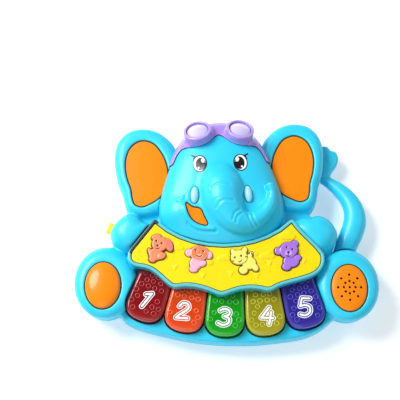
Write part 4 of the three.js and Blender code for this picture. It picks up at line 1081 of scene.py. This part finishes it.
class TOY_OT_face(bpy.types.Operator):
    """Make the eyes, the tusks and the mouth."""

    bl_idname = "toy.face"
    bl_label = "Eyes, tusks and mouth"

    def execute(self, context):
        printed = finish("printed_eye", rough=0.3, coat=0.2, grain=0.05, wear=0.0)
        ivory = finish("pale_tusk", colours().tusk, rough=0.2, coat=0.8)
        orange = finish("orange_mouth", colours().orange, rough=0.4, coat=0.1, shine=0.2)
        for name, side in SIDES.items():
            centre = side * EYE_AT[0]

            def eye(x, y, z, side=side):
                surface = head_shape(x, y, z)
                return both(pocket(eye_flat(side, x, y), surface, EYE_DEPTH), surface - EYE_PROUD, 0.25)

            def paint(x, y, z, side=side):
                u, v = (x - side * EYE_AT[0]) * side, y - EYE_AT[1]
                # Only the left pupil turns grey towards its lower outer side: a painted reflection.
                grey = np.clip(0.2 - v * 0.08 + u * 0.04, 0, 0.75) * (side < 0)
                tones = [
                    (ball((0.2, 0), (5.8, 7.6), u, v) < 0, EYE_WHITE),
                    (ball((-0.8, -0.5), (4.8, 6.5), u, v) < 0, EYE_BLACK),
                    ((ball((-0.8, -0.5), (4.3, 6), u, v) < 0) * grey, EYE_PAINTED_SHEEN),
                    (ball((-2.8, 2.9), (1.6, 2.3), u, v, turn=-0.4) < 0, EYE_WHITE),
                    (ball((1.4, -4.3), (0.9, 1.2), u, v, turn=0.5) < 0, EYE_WHITE),
                ]
                return toned(x, *tones, base=EYE_BLACK)

            piece = form(f"{name}_eye_print", eye, (centre - 9, 37, 46), (centre + 9, 58, 60), 0.24,
                         place=from_head, tint=paint)
            keep(piece, printed, nodes=[f"{name}_eye"])
            centre = side * TUSK_AT[0]
            piece = form(f"{name}_tusk_cap", lambda x, y, z, s=side: tusk_solid(s, 0, x, y, z),
                         (centre - 5, 7, 50), (centre + 5, 25, 61), 0.4, place=from_head)
            keep(piece, ivory, nodes=[f"{name}_tusk"])
        low, high = MOUTH.min(0) - 1, MOUTH.max(0) + 1

        def mouth(x, y, z):
            surface = head_shape(x, y, z)
            plate = pocket(to_outline(MOUTH, x, y) + 0.1, surface, MOUTH_DEPTH)
            return both(plate, surface + MOUTH_SUNK, 0.3)

        keep(form("mouth_plate", mouth, (*low, 44), (*high, 60), 0.4, place=from_head), orange,
             nodes=["mouth_insert"])

        # A dark ring of painted shade in the gap round the mouth plate.
        def mouth_shade_ring(x, y, z):
            surface = head_shape(x, y, z)
            beside = np.abs(to_outline(MOUTH, x, y) - 0.2) - 0.65
            return np.maximum(pocket(beside, surface, 1.5), surface + 0.05)

        keep(form("mouth_seam", mouth_shade_ring, (*low, 44), (*high, 60), 0.4, place=from_head), gap_shade_finish())
        return {"FINISHED"}


def in_cup(side, x, y, z):
    """Coordinates on a goggle cup, which leans back from the brow and a little outwards."""
    dx, dy, dz = x - side * CUP_AT[0], y - CUP_AT[1], z - CUP_AT[2]
    c, s = math.cos(side * CUP_SPREAD), math.sin(side * CUP_SPREAD)
    dx, dy = dx * c - dy * s, dx * s + dy * c
    c, s = math.cos(CUP_LEAN), math.sin(CUP_LEAN)
    return dx, dy * c - dz * s, dy * s + dz * c


class TOY_OT_goggles(bpy.types.Operator):
    """Make the goggles on the brow: frame, strap and lenses."""

    bl_idname = "toy.goggles"
    bl_label = "Goggles"

    def execute(self, context):
        tone = tuple(colours().purple)

        def goggles(x, y, z):
            surface = head_shape(x, y, z)
            strap = to_outline(STRAP, x, y)
            body = both(both(surface - STRAP_THICK, strap, 0.9), STRAP_END - z, 0.5)
            for side in (-1, 1):
                a, b, c = in_cup(side, x, y, z)
                r = np.hypot(a, b)
                seat = slab(r - SEAT_RADIUS, c, SEAT_FLOOR, 9, 0.3)
                cup = cut(slab(r - CUP_RADIUS, c, -14, CUP_TOP, 1.7), seat, 0.5)
                cup = both(cup, np.minimum(strap + 0.4, -2.6 - c), 0.4)
                groove = 0.5 * np.exp(-(((r - 12.2) / 0.45) ** 2)) * (c > 0.5)
                body = cut(fused(body, cup + groove, 3), seat, 0.4)
            return cut(body, surface - 0.3)

        def paint(x, y, z):
            cups = np.minimum.reduce([np.hypot(*in_cup(s, x, y, z)[:2]) for s in (-1, 1)])
            shade = np.clip((cups - 10.8) / 3, 0, 1) * (cups < 13.9)
            return toned(x, (0.5 * (1 - shade) * (cups < 13.9), CUP_PALE), base=tone)

        keep(form("goggle_body", goggles, *GOGGLE_SPAN, 0.6, place=from_head, tint=paint),
             finish("purple_plastic", rough=0.24, coat=0.6), nodes=["goggle_frame"])

        # A dark blue band along the strap's edge: painted shadow in the gap under the strap.
        def strap_shade(x, y, z):
            surface = head_shape(x, y, z)
            beside = np.abs(to_outline(STRAP, x, y) - 0.25) - 0.5
            return both(both(beside, np.abs(surface - 0.2) - 0.5, 0.2), np.maximum(38 - z, y - 88))

        keep(form("goggle_piping", strap_shade, *STRAP_SHADE_SPAN, 0.45, place=from_head),
             finish("dark_piping", STRAP_SHADE_BLUE, rough=0.5, coat=0.0, shine=0.2))
        lens = tuple(colours().lens)
        glass = finish("lavender_lens", rough=0.08, coat=1.0, grain=0.04, wear=0.0)
        for name, side in SIDES.items():

            def shape(x, y, z, side=side):
                a, b, c = in_cup(side, x, y, z)
                r = np.hypot(a, b)
                dome = c - 1.9 + 1.7 * (r / LENS_RADIUS) ** 2
                return both(both(dome, r - LENS_RADIUS, 0.5), -1 - c)

            def painted_lens_sheen(x, y, z, side=side):
                a, b, _ = in_cup(side, x, y, z)
                # Each lens turns paler towards one side, a painted reflection, and a darker purple towards
                # its edge.
                share = np.clip(0.5 + (b - a) / 20, 0, 1)
                rim = np.clip((np.hypot(a, b) - 8.6) / 0.8, 0, 1)
                return toned(x, (share, LENS_PAINTED_SHEEN), (rim * 0.6, LENS_RIM), base=lens)

            centre = side * CUP_AT[0]
            piece = form(f"{name}_lens", shape, (centre - 12, 67, 48), (centre + 12, 92, 65), 0.4,
                         place=from_head, tint=painted_lens_sheen)
            keep(piece, glass, nodes=[f"{name}_goggle_lens"])
        return {"FINISHED"}


# ------------------------------------------------------------------ tray, panel and buttons
# Each oval is (x, y, half width, half height, turn, height below the button's top).
ANIMALS = {
    "dog": (-20.2, [
        (-0.5, 4.5, 8.6, 8.4, 0, 0), (-4.2, 12.2, 5.4, 3.4, 0.3, 0.5), (9.2, 3.4, 4.4, 7.6, 0.35, 0.2),
        (-4.5, -6.5, 7.8, 7, 0, 1.1), (-7.8, -12, 4.2, 3.6, 0, 0.8), (1.6, -8.4, 5, 3.8, 0.4, 0.7),
        (-10.8, -3.5, 2.6, 4.4, 0.3, 1.3),
    ]),
    "monkey": (-9.9, [
        (0.5, 5.6, 10.2, 8.4, 0, 0), (-10.3, 6.4, 4.2, 4.4, 0, 0.8), (10.8, 3.6, 3.8, 4.4, 0, 0.8),
        (-3.4, -5.5, 6.4, 7, 0, 1.1), (-5.4, -12, 4.6, 3.2, 0, 0.8), (3.4, -5.6, 5, 3.4, 0.3, 1.0),
    ]),
    "cat": (1.7, [
        (-5, 4.3, 9.2, 8.2, 0.1, 0), (-11, 9.8, 2.8, 4.6, 0.35, 0.5), (0.6, 11.6, 3.2, 4.6, -0.35, 0.5),
        (5.4, -1.6, 8, 7.2, -0.3, 1.1), (-0.6, -9.4, 5, 4.6, 0, 0.8), (11.8, -6.6, 3.6, 4.6, 0.5, 0.8),
        (6.4, 6, 2.8, 5.6, -0.5, 1.3),
    ]),
    "bear": (13.2, [
        (0.4, 6.2, 10, 9, 0.3, 0), (-10.6, 5.2, 4, 4.4, 0.3, 0.7), (7.2, 13.4, 4, 4, 0, 0.7),
        (3, -5.6, 8.6, 7, 0, 1.1), (-2, -11.6, 5, 4.4, 0, 0.8), (10, -2, 4, 3.6, 0.4, 0.9),
    ]),
}
ANIMAL_SCALE, BUTTON_LOW, BUTTON_HIGH, BUTTON_GAP = 0.88, 42.6, 48.5, 0.5
# Small faces: eyes and nose as dots (x, y, radius), and mouths and marks as lines.
FACES = {
    "dog": ([(-4.2, 7.6, 1.15), (1.6, 5, 1.1), (-2.6, 2.4, 1.2)],
            [[(-4.4, -0.4), (-2.4, -1.3), (-0.6, -0.2)]]),
    "monkey": ([(-3.2, 7.6, 0.9), (4.6, 6.2, 0.9), (1, 6.2, 0.5)],
               [[(-2.4, 2.6), (0.4, 1.2), (3.2, 2.4)], [(-4.4, 9.4), (-2.2, 9.2)], [(3.6, 8.2), (5.8, 7.4)]]),
    "cat": ([(-9.6, 3.8, 1.1), (-3, 5.6, 1.2)],
            [[(-5.6, -0.4), (-4.4, -1.2), (-2.6, 0.8)], [(1.4, 4.4), (4.2, 4.6)], [(-12, 0), (-10.4, -0.2)],
             [(5.2, 10.4), (6.2, 8)], [(8, 9.2), (9, 7)]]),
    "bear": ([(-1.8, 8.8, 1.1), (4.2, 6.6, 1.1), (0.2, 3.4, 1.4)],
             [[(0.2, 2.6), (-0.2, 0)], [(-1.8, -0.4), (-0.2, -1.2), (1.6, -0.6)]]),
}


def animal_flat(ovals, x, y, growth=0.0):
    """Flat distance to an animal's outline, from its own middle."""
    k = ANIMAL_SCALE
    return np.minimum.reduce([
        ball((k * a, k * b), (k * p + growth, k * q + growth), x, y, turn=turn)
        for a, b, p, q, turn, _ in ovals
    ])


# Clouds on the panel as (x, y, scale), the ovals of one cloud, and the places of the tufts of grass.
CLOUDS = [
    (-20, -37, 1.0), (38, -31, 0.9), (57, -12, 1.0), (-46, -23, 0.8), (24, -29, 0.7), (-2, -33, 0.8),
]
PUFFS = [(0, 0, 5.4, 3.4), (-4.6, -0.8, 3.2, 2.4), (4.4, -0.6, 3.4, 2.4), (1.4, 2, 2.8, 2.4)]
GRASS = [
    (-48, -44), (-57, -35), (-22, -52), (4, -50), (18, -47), (28, -52), (59, -44), (72, -38),
    (-70, -24), (40, -40),
]
CLOUD_HEIGHT, GRASS_HEIGHT, BLADE_LEANS, BLADE_LENGTH = 0.9, 0.7, (-0.5, 0.1, 0.6), 3.6


def panel_marks(x, y):
    """The height of the raised clouds and blades of grass on the panel."""
    height = 0.0
    for cx, cy, k in CLOUDS:
        flat = np.minimum.reduce([
            ball((cx + dx * k, cy + dy * k), (a * k, b * k), x, y) for dx, dy, a, b in PUFFS
        ])
        height = np.maximum(height, CLOUD_HEIGHT * np.clip(0.5 - flat / 1.1, 0, 1))
    for bx, by in GRASS:
        for lean in BLADE_LEANS:
            away = to_line([(bx, by), (bx + 3.2 * lean, by + BLADE_LENGTH)], x, y)
            height = np.maximum(height, GRASS_HEIGHT * np.clip(1.3 - away / 0.7, 0, 1))
    return height


class TOY_OT_tray(bpy.types.Operator):
    """Make the scalloped button panel and the tray that holds it."""

    bl_idname = "toy.tray"
    bl_label = "Tray and panel"

    def execute(self, context):
        blue, rim = tuple(colours().blue), tuple(colours().rim)

        def tray(x, y, z):
            plate = to_outline(PLATE, x, y)
            body = slab(plate - TRAY_RIM, z, Z_DECK + 0.3, Z_TRAY, 1.2, 0.6)
            body = cut(body, slab(plate, z, Z_PANEL_BED, Z_OVER), 0.5)
            return cut(body, slab(plate + 1.3, z, Z_TRAY_BED, Z_OVER))

        def paint(x, y, z):
            shaded = to_line(PLATE_LEFT_EDGE, x, y) < 3.2
            # The top of the tray takes the paler rim colour, a painted reflection, and its left edge the dark
            # tray shade, a painted shade.
            return toned(x, (np.clip((z - 42.5) / 2.5, 0, 1), rim), (shaded, TRAY_SHADE), base=blue)

        keep(form("tray_body", tray, *TRAY_SPAN, 0.7, tint=paint),
             finish("tray_plastic", rough=0.3, coat=0.2, wear=0.1), nodes=["panel_tray"])

        def panel(x, y, z):
            plate = to_outline(PLATE, x, y)
            body = slab(plate + 0.5, z - panel_marks(x, y), *PANEL_LAYER, 0.6)
            for angle, ovals in ANIMALS.values():
                at = fan(BUTTON_REACH, angle)
                hole = animal_flat(ovals, x - at[0], y - at[1], BUTTON_GAP)
                body = cut(body, hole, 0.5)
            return body

        keep(form("panel_plate", panel, *PANEL_SPAN, 0.55),
             finish("yellow_plastic", colours().yellow, rough=0.4, coat=0.1, shine=0.25),
             nodes=["music_panel"])
        # A dark ring of painted shade in the gap between the panel and the tray.
        seam("panel_seam", lambda x, y: to_outline(PLATE, x, y) + 0.1, (-92, -68), (91, 4),
             *PANEL_SHADE_LAYER, width=0.8, step=0.45)
        return {"FINISHED"}


class TOY_OT_buttons(bpy.types.Operator):
    """Make the four animal buttons with their faces."""

    bl_idname = "toy.buttons"
    bl_label = "Animal buttons"

    def execute(self, context):
        moulded = finish("button_plastic", rough=0.3, coat=0.4, wear=0.35)
        for name, (angle, ovals) in ANIMALS.items():
            tone = np.array(tuple(getattr(colours(), name)))
            dots, lines = FACES[name]
            k = ANIMAL_SCALE

            def marks(x, y, dots=dots, lines=lines):
                found = [np.hypot(x - k * a, y - k * b) - r * 0.9 for a, b, r in dots]
                found += [to_line(np.array(line) * k, x, y) - 0.42 for line in lines]
                return np.minimum.reduce(found)

            def button(x, y, z, ovals=ovals, marks=marks):
                body = 1e9
                for a, b, p, q, turn, drop in ovals:
                    flat = ball((k * a, k * b), (k * p, k * q), x, y, turn=turn)
                    oval = slab(flat, z, BUTTON_LOW, BUTTON_HIGH - drop, 1.7, 0.2)
                    body = np.minimum(body, oval)
                return body + 0.25 * np.clip(1 - marks(x, y) / 0.3, 0, 1) * (z > 45)

            def paint(x, y, z, name=name, tone=tone, marks=marks, ovals=ovals):
                edge = animal_flat(ovals, x, y)
                # Each button darkens towards its outline: painted shade at its edge.
                tones = [(np.clip(0.9 + edge / 1.2, 0, 0.8), tone * 0.35)]
                if name == "monkey":
                    face = ball((0.6, 5), (7.6, 6.6), x, y, turn=0.1) < 0
                    tones += [(y < 0.4, MONKEY_PINK), (np.abs(x) > 8.4, MONKEY_PINK), (face, MONKEY_FACE),
                              (ball((0.3, 1.9), (3.0, 1.9), x, y) < 0, MONKEY_MUZZLE)]
                if name == "bear":
                    tones.append((ball((0, 2.4), (3.4, 2.8), x, y) < 0, BEAR_MUZZLE))
                if name == "dog":
                    tones.append((ball((8.2, 3), (2.6, 5.4), x, y, turn=0.35) < 0, DOG_EAR))
                tones.append((marks(x, y) < 0.1, DOG_MARKS if name == "dog" else tone * 0.12))
                return toned(x, *tones, base=tone)

            at = fan(BUTTON_REACH, angle)
            piece = form(f"{name}_figure", button, *BUTTON_SPAN, 0.36,
                         place=lambda p, at=at: p + [*at, 0], tint=paint)
            keep(piece, moulded, f"{name}_button", [f"{name}_button"])
        return {"FINISHED"}


# ------------------------------------------------------------------ keys
def stroke(*knots):
    """A curved stroke of a numeral."""
    return smooth(knots, 5, closed=False)


# The strokes of the numerals 1 to 5, in a key's own frame.
NUMERALS = [[np.array(line) for line in lines] for lines in (
    [[(-2.6, -35.2), (2.6, -32.8), (-2.4, -47.2)]],
    [stroke((-6, -37.5), (-3.2, -33.8), (1, -34), (2.6, -37.4), (0, -41.2), (-4.6, -45.4), (-7.2, -48.6)),
     [(-7.2, -48.6), (3.4, -47.4)]],
    [stroke((-4.6, -36.4), (-0.8, -34.6), (3.8, -36.4), (3.8, -39.6), (-0.6, -41.6)),
     stroke((-0.6, -41.6), (3.8, -43.6), (3.2, -47.8), (-1.6, -49.8), (-6.2, -48.2))],
    [[(4.2, -34.8), (-4, -43.6), (6.8, -45)], [(5.6, -39.4), (2.6, -50.2)]],
    [[(6.8, -33.6), (0, -31.6), (-3.6, -38.6)],
     stroke((-3.6, -38.6), (0.8, -38.6), (4.6, -41.2), (3.6, -46), (-1.4, -48), (-5.6, -46))],
)]
KEY_LOW, KEY_SKIRT, KEY_LID, KEY_EDGE = 20.5, 2, 2.2, 3.3
PLUNGER_AT, PLUNGER_RADIUS, PLUNGER_LOW = (0, -32), 3, 16.4
HUB_LOW, HUB_WIDTH, HUB_LENGTH, AXLE_Z, AXLE_BORE = 23.4, 18, 7.2, 27, 1.7
LINE_GAP, LINE_HALF, PRINT_HEIGHT = 1.25, 0.42, 0.22


def key_shape(x, y, z):
    """A hollow key with its plunger, and a narrower hub with the axle's bore at its rear end."""
    under_lid = Z_KEY - 1
    flat = to_outline(KEY, x, y)
    body = slab(flat, z, KEY_LOW, Z_KEY, KEY_EDGE, 0.3)
    body = cut(body, slab(flat + KEY_SKIRT, z, 0, Z_KEY - KEY_LID))
    plunger = ball(PLUNGER_AT, [PLUNGER_RADIUS] * 2, x, y)
    body = np.minimum(body, slab(plunger, z, PLUNGER_LOW, under_lid))
    hub = brick(x, y, z, (0, 0, (HUB_LOW + under_lid) / 2), (HUB_WIDTH, HUB_LENGTH, under_lid - HUB_LOW))
    body = np.minimum(body, hub)
    for side in (-1, 1):
        body = cut(body, brick(x, y, z, (side * 20, 1, 16.95), (21, 12, 33.9)))
    body = cut(body, brick(x, y, z, (0, 6.5, 15), (60, 6, 30)))
    return cut(body, np.hypot(y, z - AXLE_Z) - AXLE_BORE)


def ring_spots(index, pitch):
    """Places for a key's rings: a slightly uneven honeycomb, clear of the edge and the numeral."""
    stray, sunk, edge_room, numeral_room = 0.35, 0.12, 4.6, 4.9
    spots = []
    for r, y in enumerate(np.arange(-56, -4, pitch * 0.866)):
        for c in range(-3, 4):
            x = (c + 0.5 * (r % 2)) * pitch + stray * math.sin(5 * r + 3 * c + index)
            spots.append((x, y + stray * math.cos(4 * r + 7 * c + index), Z_KEY - sunk))
    spots = np.array(spots)
    x, y = spots[:, 0], spots[:, 1]
    numeral = np.minimum.reduce([to_line(line, x, y) for line in NUMERALS[index]])
    return spots[(to_outline(KEY, x, y) < -edge_room) & (numeral > numeral_room)]


class TOY_OT_keys(bpy.types.Operator):
    """Make the five translucent keys, their rings and their numerals."""

    bl_idname = "toy.keys"
    bl_label = "Keys"

    def execute(self, context):
        size = sizes()
        tree = ring_tree()
        white = finish("white_print", NUMERAL_WHITE, rough=0.3, coat=0.3, wear=0.0)
        slots = ["red_key", "orange_key", "green_key", "olive_key", "indigo_key"]
        for i in KEYS:
            tone = np.array(tuple(getattr(colours(), f"key_{i + 1}")))
            place = from_key(i)
            # Each key is painted darker towards its hinge, a painted shadow of the tray; lighter towards its
            # nose and along the rim of its top, painted light caught by the rounded edges; and darker low on
            # its sides, painted shade inside the wells.
            bright = np.minimum(tone * 1.7 + 0.03, 1)

            def paint(x, y, z, tone=tone, bright=bright):
                edge = -to_outline(KEY, x, y)
                painted_edge_light = np.clip(1 - (edge - 0.8) / 2.4, 0, 1) * (z > 27)
                nose = np.clip((-48 - y) / 12, 0, 1)
                painted_tray_shadow = np.clip((y + 40) / 34, 0, 1)
                return toned(x, (0.5 * painted_tray_shadow, tone * 0.35), (0.35 * nose, bright), (0.75 * painted_edge_light, bright),
                             (np.clip((27 - z) / 4, 0, 1), tone * 0.4), base=tone)

            keyed = finish(f"{slots[i]}_plastic", rough=0.09, coat=0.5, grain=0.02, wear=0.15, shine=0.2)
            body = f"key_{i + 1}"
            piece = form(f"{body}_cap", key_shape, *KEY_SPAN, 0.62, place=place, tint=paint)
            keep(piece, keyed, body, [body])

            pale = tuple(np.minimum(tone * 1.9 + 0.04, 1))
            ringed = finish(f"{slots[i]}_rings", pale, rough=0.2, coat=0.3, wear=0.0)
            spots = place(ring_spots(i, size.ring_spacing / MM))
            rings = object_of(f"{body}_rings", spots, np.zeros((0, 4)))
            grow(rings, tree, {
                "Diameter": size.ring_diameter, "Thickness": size.ring_thickness, "Material": ringed,
            })
            keep(rings, ringed, body)

            def numeral(x, y, z, lines=NUMERALS[i], core=size.stroke / MM):
                away = np.minimum.reduce([to_line(line, x, y) for line in lines])
                flat = np.minimum(away - core, np.abs(away - core - LINE_GAP) - LINE_HALF)
                return slab(flat, z, Z_KEY - 0.5, Z_KEY + PRINT_HEIGHT, 0.15)

            digit = form(f"{body}_numeral", numeral, *NUMERAL_SPAN, 0.3, place=place)
            keep(digit, white, body)
        return {"FINISHED"}


# ------------------------------------------------------------------ soles, knob and screws
class TOY_OT_soles(bpy.types.Operator):
    """Make the sole button, the speaker grille and the power knob."""

    bl_idname = "toy.soles"
    bl_label = "Soles and power knob"

    def execute(self, context):
        glossy = finish("orange_gloss", colours().orange, rough=0.3, coat=0.25, grain=0.05, shine=0.25)
        orange = finish("orange_grille", colours().orange, rough=0.4, coat=0.1, shine=0.2)
        (lx, ly), (rx, ry) = SOLE["left"], SOLE["right"]
        button_low, grille_low, edge = 35, 37, Z_FOOT + 0.2

        def dome_over(side, rise, x, y, z):
            oval = ball((*SOLE[side], Z_FOOT), (*SOLE_RADII, rise), x, y, z)
            return both(oval, Z_FOOT - 0.5 - z)

        def button(x, y, z):
            dome = dome_over("left", 6.3, x, y, z)
            body = np.minimum(dome, slab(sole_flat("left", x, y), z, button_low, edge, 0.3))
            return np.minimum(body, slab(ball((lx, ly), (5, 5), x, y), z, 32.4, 36))

        piece = form("sole_button_cap", button, (lx - 17, ly - 23, 32), (lx + 17, ly + 23, 47), 0.6)
        keep(piece, glossy, "left_sole_button", ["left_sole_button"])

        def grille(x, y, z):
            dome = dome_over("right", 3, x, y, z)
            body = np.minimum(dome, slab(sole_flat("right", x, y), z, grille_low, edge, 0.3))
            return cut(body, slab(ball((rx, ry), (14.5, 20), x, y), z, 30, edge))

        piece = form("sole_grille_cap", grille, (rx - 17, ry - 23, 36), (rx + 17, ry + 23, 44), 0.7)
        centre = [(rx + ORIGIN[0]) * MM, (ry + ORIGIN[1]) * MM, Z_FOOT * MM]
        grow(piece, grille_tree(), {
            "Centre": centre, "Hole radius": sizes().hole_radius, "Count": sizes().hole_count,
            "Material": orange,
        })
        keep(piece, orange, nodes=["right_sole_grille"])

        # A dark sheet under the grille: painted shade seen through its holes.
        def hole_shade(x, y, z):
            return slab(ball((rx, ry), (14, 19.5), x, y), z, *HOLE_SHADE_LAYER)

        piece = form("grille_backing", hole_shade, (rx - 15, ry - 20, 38), (rx + 15, ry + 20, 40), 0.5)
        keep(piece, gap_shade_finish())
        # Dark rings of painted shade in the gaps round both soles.
        for side in SIDES:
            at = SOLE[side]
            seam(f"{side}_sole_seam", lambda x, y, s=side: sole_flat(s, x, y) - 0.6,
                 (at[0] - 19, at[1] - 25), (at[0] + 19, at[1] + 25), *SOLE_SHADE_LAYER, width=0.5)

        def knob(x, y, z):
            body = brick(x, y, z, (-1.75, 0, 14.5), (11.5, 11, 6), 0.8)
            for rib in range(-4, 5, 2):
                body = np.minimum(body, brick(x, y, z, (-7.6, rib, 14.5), (1.6, 0.9, 5.2), 0.3))
            return body

        piece = form("knob_grip", knob, *KNOB_SPAN, 0.35,
                     place=lambda p: turned(p, -SWITCH_TURN, SWITCH_AT))
        yellow = finish("yellow_knob", colours().yellow, rough=0.3, coat=0.4)
        keep(piece, yellow, "power_knob", ["power_knob"])
        return {"FINISHED"}


HEAD_RADIUS, HEAD_HEIGHT, SHANK_RADIUS, THREAD_DEPTH, SCREW_LENGTH, CROSS = 3, 2, 1.15, 0.2, 12.3, (3.6, 0.8)


class TOY_OT_screws(bpy.types.Operator):
    """Make the cross-head screws of the rear housing and of the battery door."""

    bl_idname = "toy.screws"
    bl_label = "Screws"

    def execute(self, context):
        steel = finish("screw_steel", linear(186, 190, 196), rough=0.24, coat=0.0, metal=1.0, fine=2400)

        def screw(x, y, z):
            r = np.hypot(x, y)
            head = both(slab(r - HEAD_RADIUS, z, 0, HEAD_HEIGHT, 0.2, 0.8), -z)
            thread = THREAD_DEPTH * np.sin((z * 2 * math.pi) + np.arctan2(y, x))
            body = np.minimum(head, slab(r - SHANK_RADIUS - thread, z, 1, SCREW_LENGTH))
            for wide, long in (CROSS, CROSS[::-1]):
                body = cut(body, brick(x, y, z, (0, 0, 0), (wide, long, 2.2), 0.1))
            return body

        pattern = form("screw_pattern", screw, *SCREW_SPAN, 0.25, place=lambda p: p - ORIGIN)
        tree = screw_tree()
        for name, nodes in (
            ("housing_screw_set", HOUSING_SCREWS), ("door_screw_cap", ["battery_door_screw"]),
        ):
            spots = []
            for node in nodes:
                low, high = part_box(node)
                spots.append([(low.x + high.x) / 2 / MM, (low.y + high.y) / 2 / MM, low.z / MM] - ORIGIN)
            piece = object_of(name, np.array(spots), np.zeros((0, 4)))
            grow(piece, tree, {"Screw": pattern, "Material": steel})
            keep(piece, steel, nodes=nodes)
        bpy.data.objects.remove(pattern)
        return {"FINISHED"}


class TOY_OT_inside(bpy.types.Operator):
    """Give the parts inside the toy their materials."""

    bl_idname = "toy.inside"
    bl_label = "Inner parts"

    def execute(self, context):
        rubber = finish("grey_rubber", linear(196, 196, 192), rough=0.7, coat=0.0, fine=1400)
        board = finish("circuit_board", linear(24, 104, 56), rough=0.42, coat=0.3, fine=600, dark=0.75)
        steel = finish("bright_steel", linear(198, 202, 206), rough=0.24, coat=0.0, metal=1.0, fine=2400)
        black = finish("black_plastic", linear(28, 28, 30), rough=0.42, coat=0.1)
        white = finish("white_plastic", linear(232, 234, 234), rough=0.4, coat=0.2)
        looks = {
            "key_bracket": white, "key_board": board, "key_contact_pad": rubber,
            "key_led_strip": finish("clear_lamp", linear(246, 244, 232), rough=0.12, coat=0.8),
            "button_board": board, "button_contact_pad": rubber, "main_board": board, "sole_switch": black,
            "power_switch": steel, "speaker_frame": steel,
            "speaker_cone": finish("speaker_paper", linear(40, 38, 36), rough=0.85, coat=0.0, fine=2200,
                                   grain=0.7),
            "speaker_magnet": finish("ferrite", linear(66, 66, 70), rough=0.55, coat=0.0, fine=1800),
        }
        cell = finish("cell_can", linear(44, 108, 80), rough=0.3, coat=0.4, metal=0.2)
        red = finish("red_wire", linear(200, 22, 18), rough=0.45, coat=0.2)
        dark = finish("black_wire", linear(20, 20, 22), rough=0.45, coat=0.2)
        for name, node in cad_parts.items():
            if name.startswith("battery_") and name[8:].isdigit():
                looks[name] = cell
            elif name.startswith("battery_bridge") or name.startswith("battery_contact"):
                looks[name] = steel
            elif "_wire_" in name:
                looks[name] = red if name.endswith("red") else dark
            if name in looks:
                node.data.materials.clear()
                node.data.materials.append(looks[name])
            elif not node.hide_render:
                raise RuntimeError(f"{name} has no material")
        return {"FINISHED"}


# Each lamp: its offset from the toy's middle and its width, in metres, and its power in watts.
LAMPS = (
    ("key_light", (-0.72, 0.42, 0.88), 0.7, 17.0),
    ("front_light", (-0.2, -0.9, 0.8), 0.9, 3.2),
    ("side_light", (0.9, 0.25, 0.7), 0.8, 1.6),
)
FLOOR_REACH, FLOOR_GLOW, AIR_GLOW = 3000, 0.3, 0.3
CAMERA_AIM, CAMERA_LENS = (-0.02495, 0.02974, 0.03), 103.1


class TOY_OT_stage(bpy.types.Operator):
    """Set the floor, the studio lights and the camera."""

    bl_idname = "toy.stage"
    bl_label = "Stage"

    def execute(self, context):
        scene = context.scene
        scene.view_settings.view_transform = "Standard"
        corners = np.array([(-1, -1, 0), (1, -1, 0), (1, 1, 0), (-1, 1, 0)]) * FLOOR_REACH
        floor = object_of("floor", corners - ORIGIN, np.array([[0, 1, 2, 3]]))
        paper = finish("studio_floor", colours().floor, rough=0.7, coat=0.0, grain=0.05, light=1.0,
                       dark=0.985, broad=6)
        floor.data.materials.append(paper)
        shader = paper.node_tree.nodes["Principled BSDF"]
        shader.inputs["Emission Color"].default_value = (1, 1, 1, 1)
        shader.inputs["Emission Strength"].default_value = FLOOR_GLOW
        world = bpy.data.worlds.new("studio_air")
        world.use_nodes = True
        background = world.node_tree.nodes["Background"]
        background.inputs["Color"].default_value = (0.93, 0.97, 1.0, 1)
        background.inputs["Strength"].default_value = AIR_GLOW
        scene.world = world
        middle = Vector([(a + b) / 2 for a, b in zip(*CAD_BOX)])
        for name, offset, size, power in LAMPS:
            data = bpy.data.lights.new(name, "AREA")
            data.shape, data.size, data.energy = "DISK", size, power
            lamp = bpy.data.objects.new(name, data)
            lamp.location = middle + Vector(offset)
            lamp.rotation_euler = (-Vector(offset)).to_track_quat("-Z", "Y").to_euler()
            scene.collection.objects.link(lamp)
        camera = bpy.data.objects.new("camera", bpy.data.cameras.new("camera"))
        camera.data.sensor_width = 36
        camera.data.lens = CAMERA_LENS
        camera.data.clip_end = 20
        back = Vector((0, -math.cos(sizes().elevation), math.sin(sizes().elevation)))
        camera.location = Vector(CAMERA_AIM) + back * sizes().distance
        camera.rotation_euler = (-back).to_track_quat("-Z", "Y").to_euler()
        scene.collection.objects.link(camera)
        scene.camera = camera
        return {"FINISHED"}


PIECES = (
    TOY_OT_shells, TOY_OT_head, TOY_OT_inserts, TOY_OT_face, TOY_OT_goggles, TOY_OT_tray, TOY_OT_buttons,
    TOY_OT_keys, TOY_OT_soles, TOY_OT_screws, TOY_OT_inside, TOY_OT_stage,
)


class TOY_PT_panel(bpy.types.Panel):
    """Sizes, colours and pieces of the toy keyboard."""

    bl_idname = "TOY_PT_panel"
    bl_label = "Toy keyboard"
    bl_space_type = "VIEW_3D"
    bl_region_type = "UI"
    bl_category = "Toy keyboard"

    def draw(self, context):
        for group in (context.scene.toy_sizes, context.scene.toy_colours):
            for label in group.__annotations__:
                self.layout.prop(group, label)
        for piece in PIECES:
            self.layout.operator(piece.bl_idname)


CLASSES = (ToyColours, ToySizes, *PIECES, TOY_PT_panel)


def register():
    for item in CLASSES:
        bpy.utils.register_class(item)
    bpy.types.Scene.toy_colours = PointerProperty(type=ToyColours)
    bpy.types.Scene.toy_sizes = PointerProperty(type=ToySizes)


def unregister():
    del bpy.types.Scene.toy_sizes
    del bpy.types.Scene.toy_colours
    for item in reversed(CLASSES):
        bpy.utils.unregister_class(item)


def main():
    register()
    for piece in PIECES:
        getattr(bpy.ops.toy, piece.bl_idname.split(".")[1])()


if __name__ == "__main__":
    main()
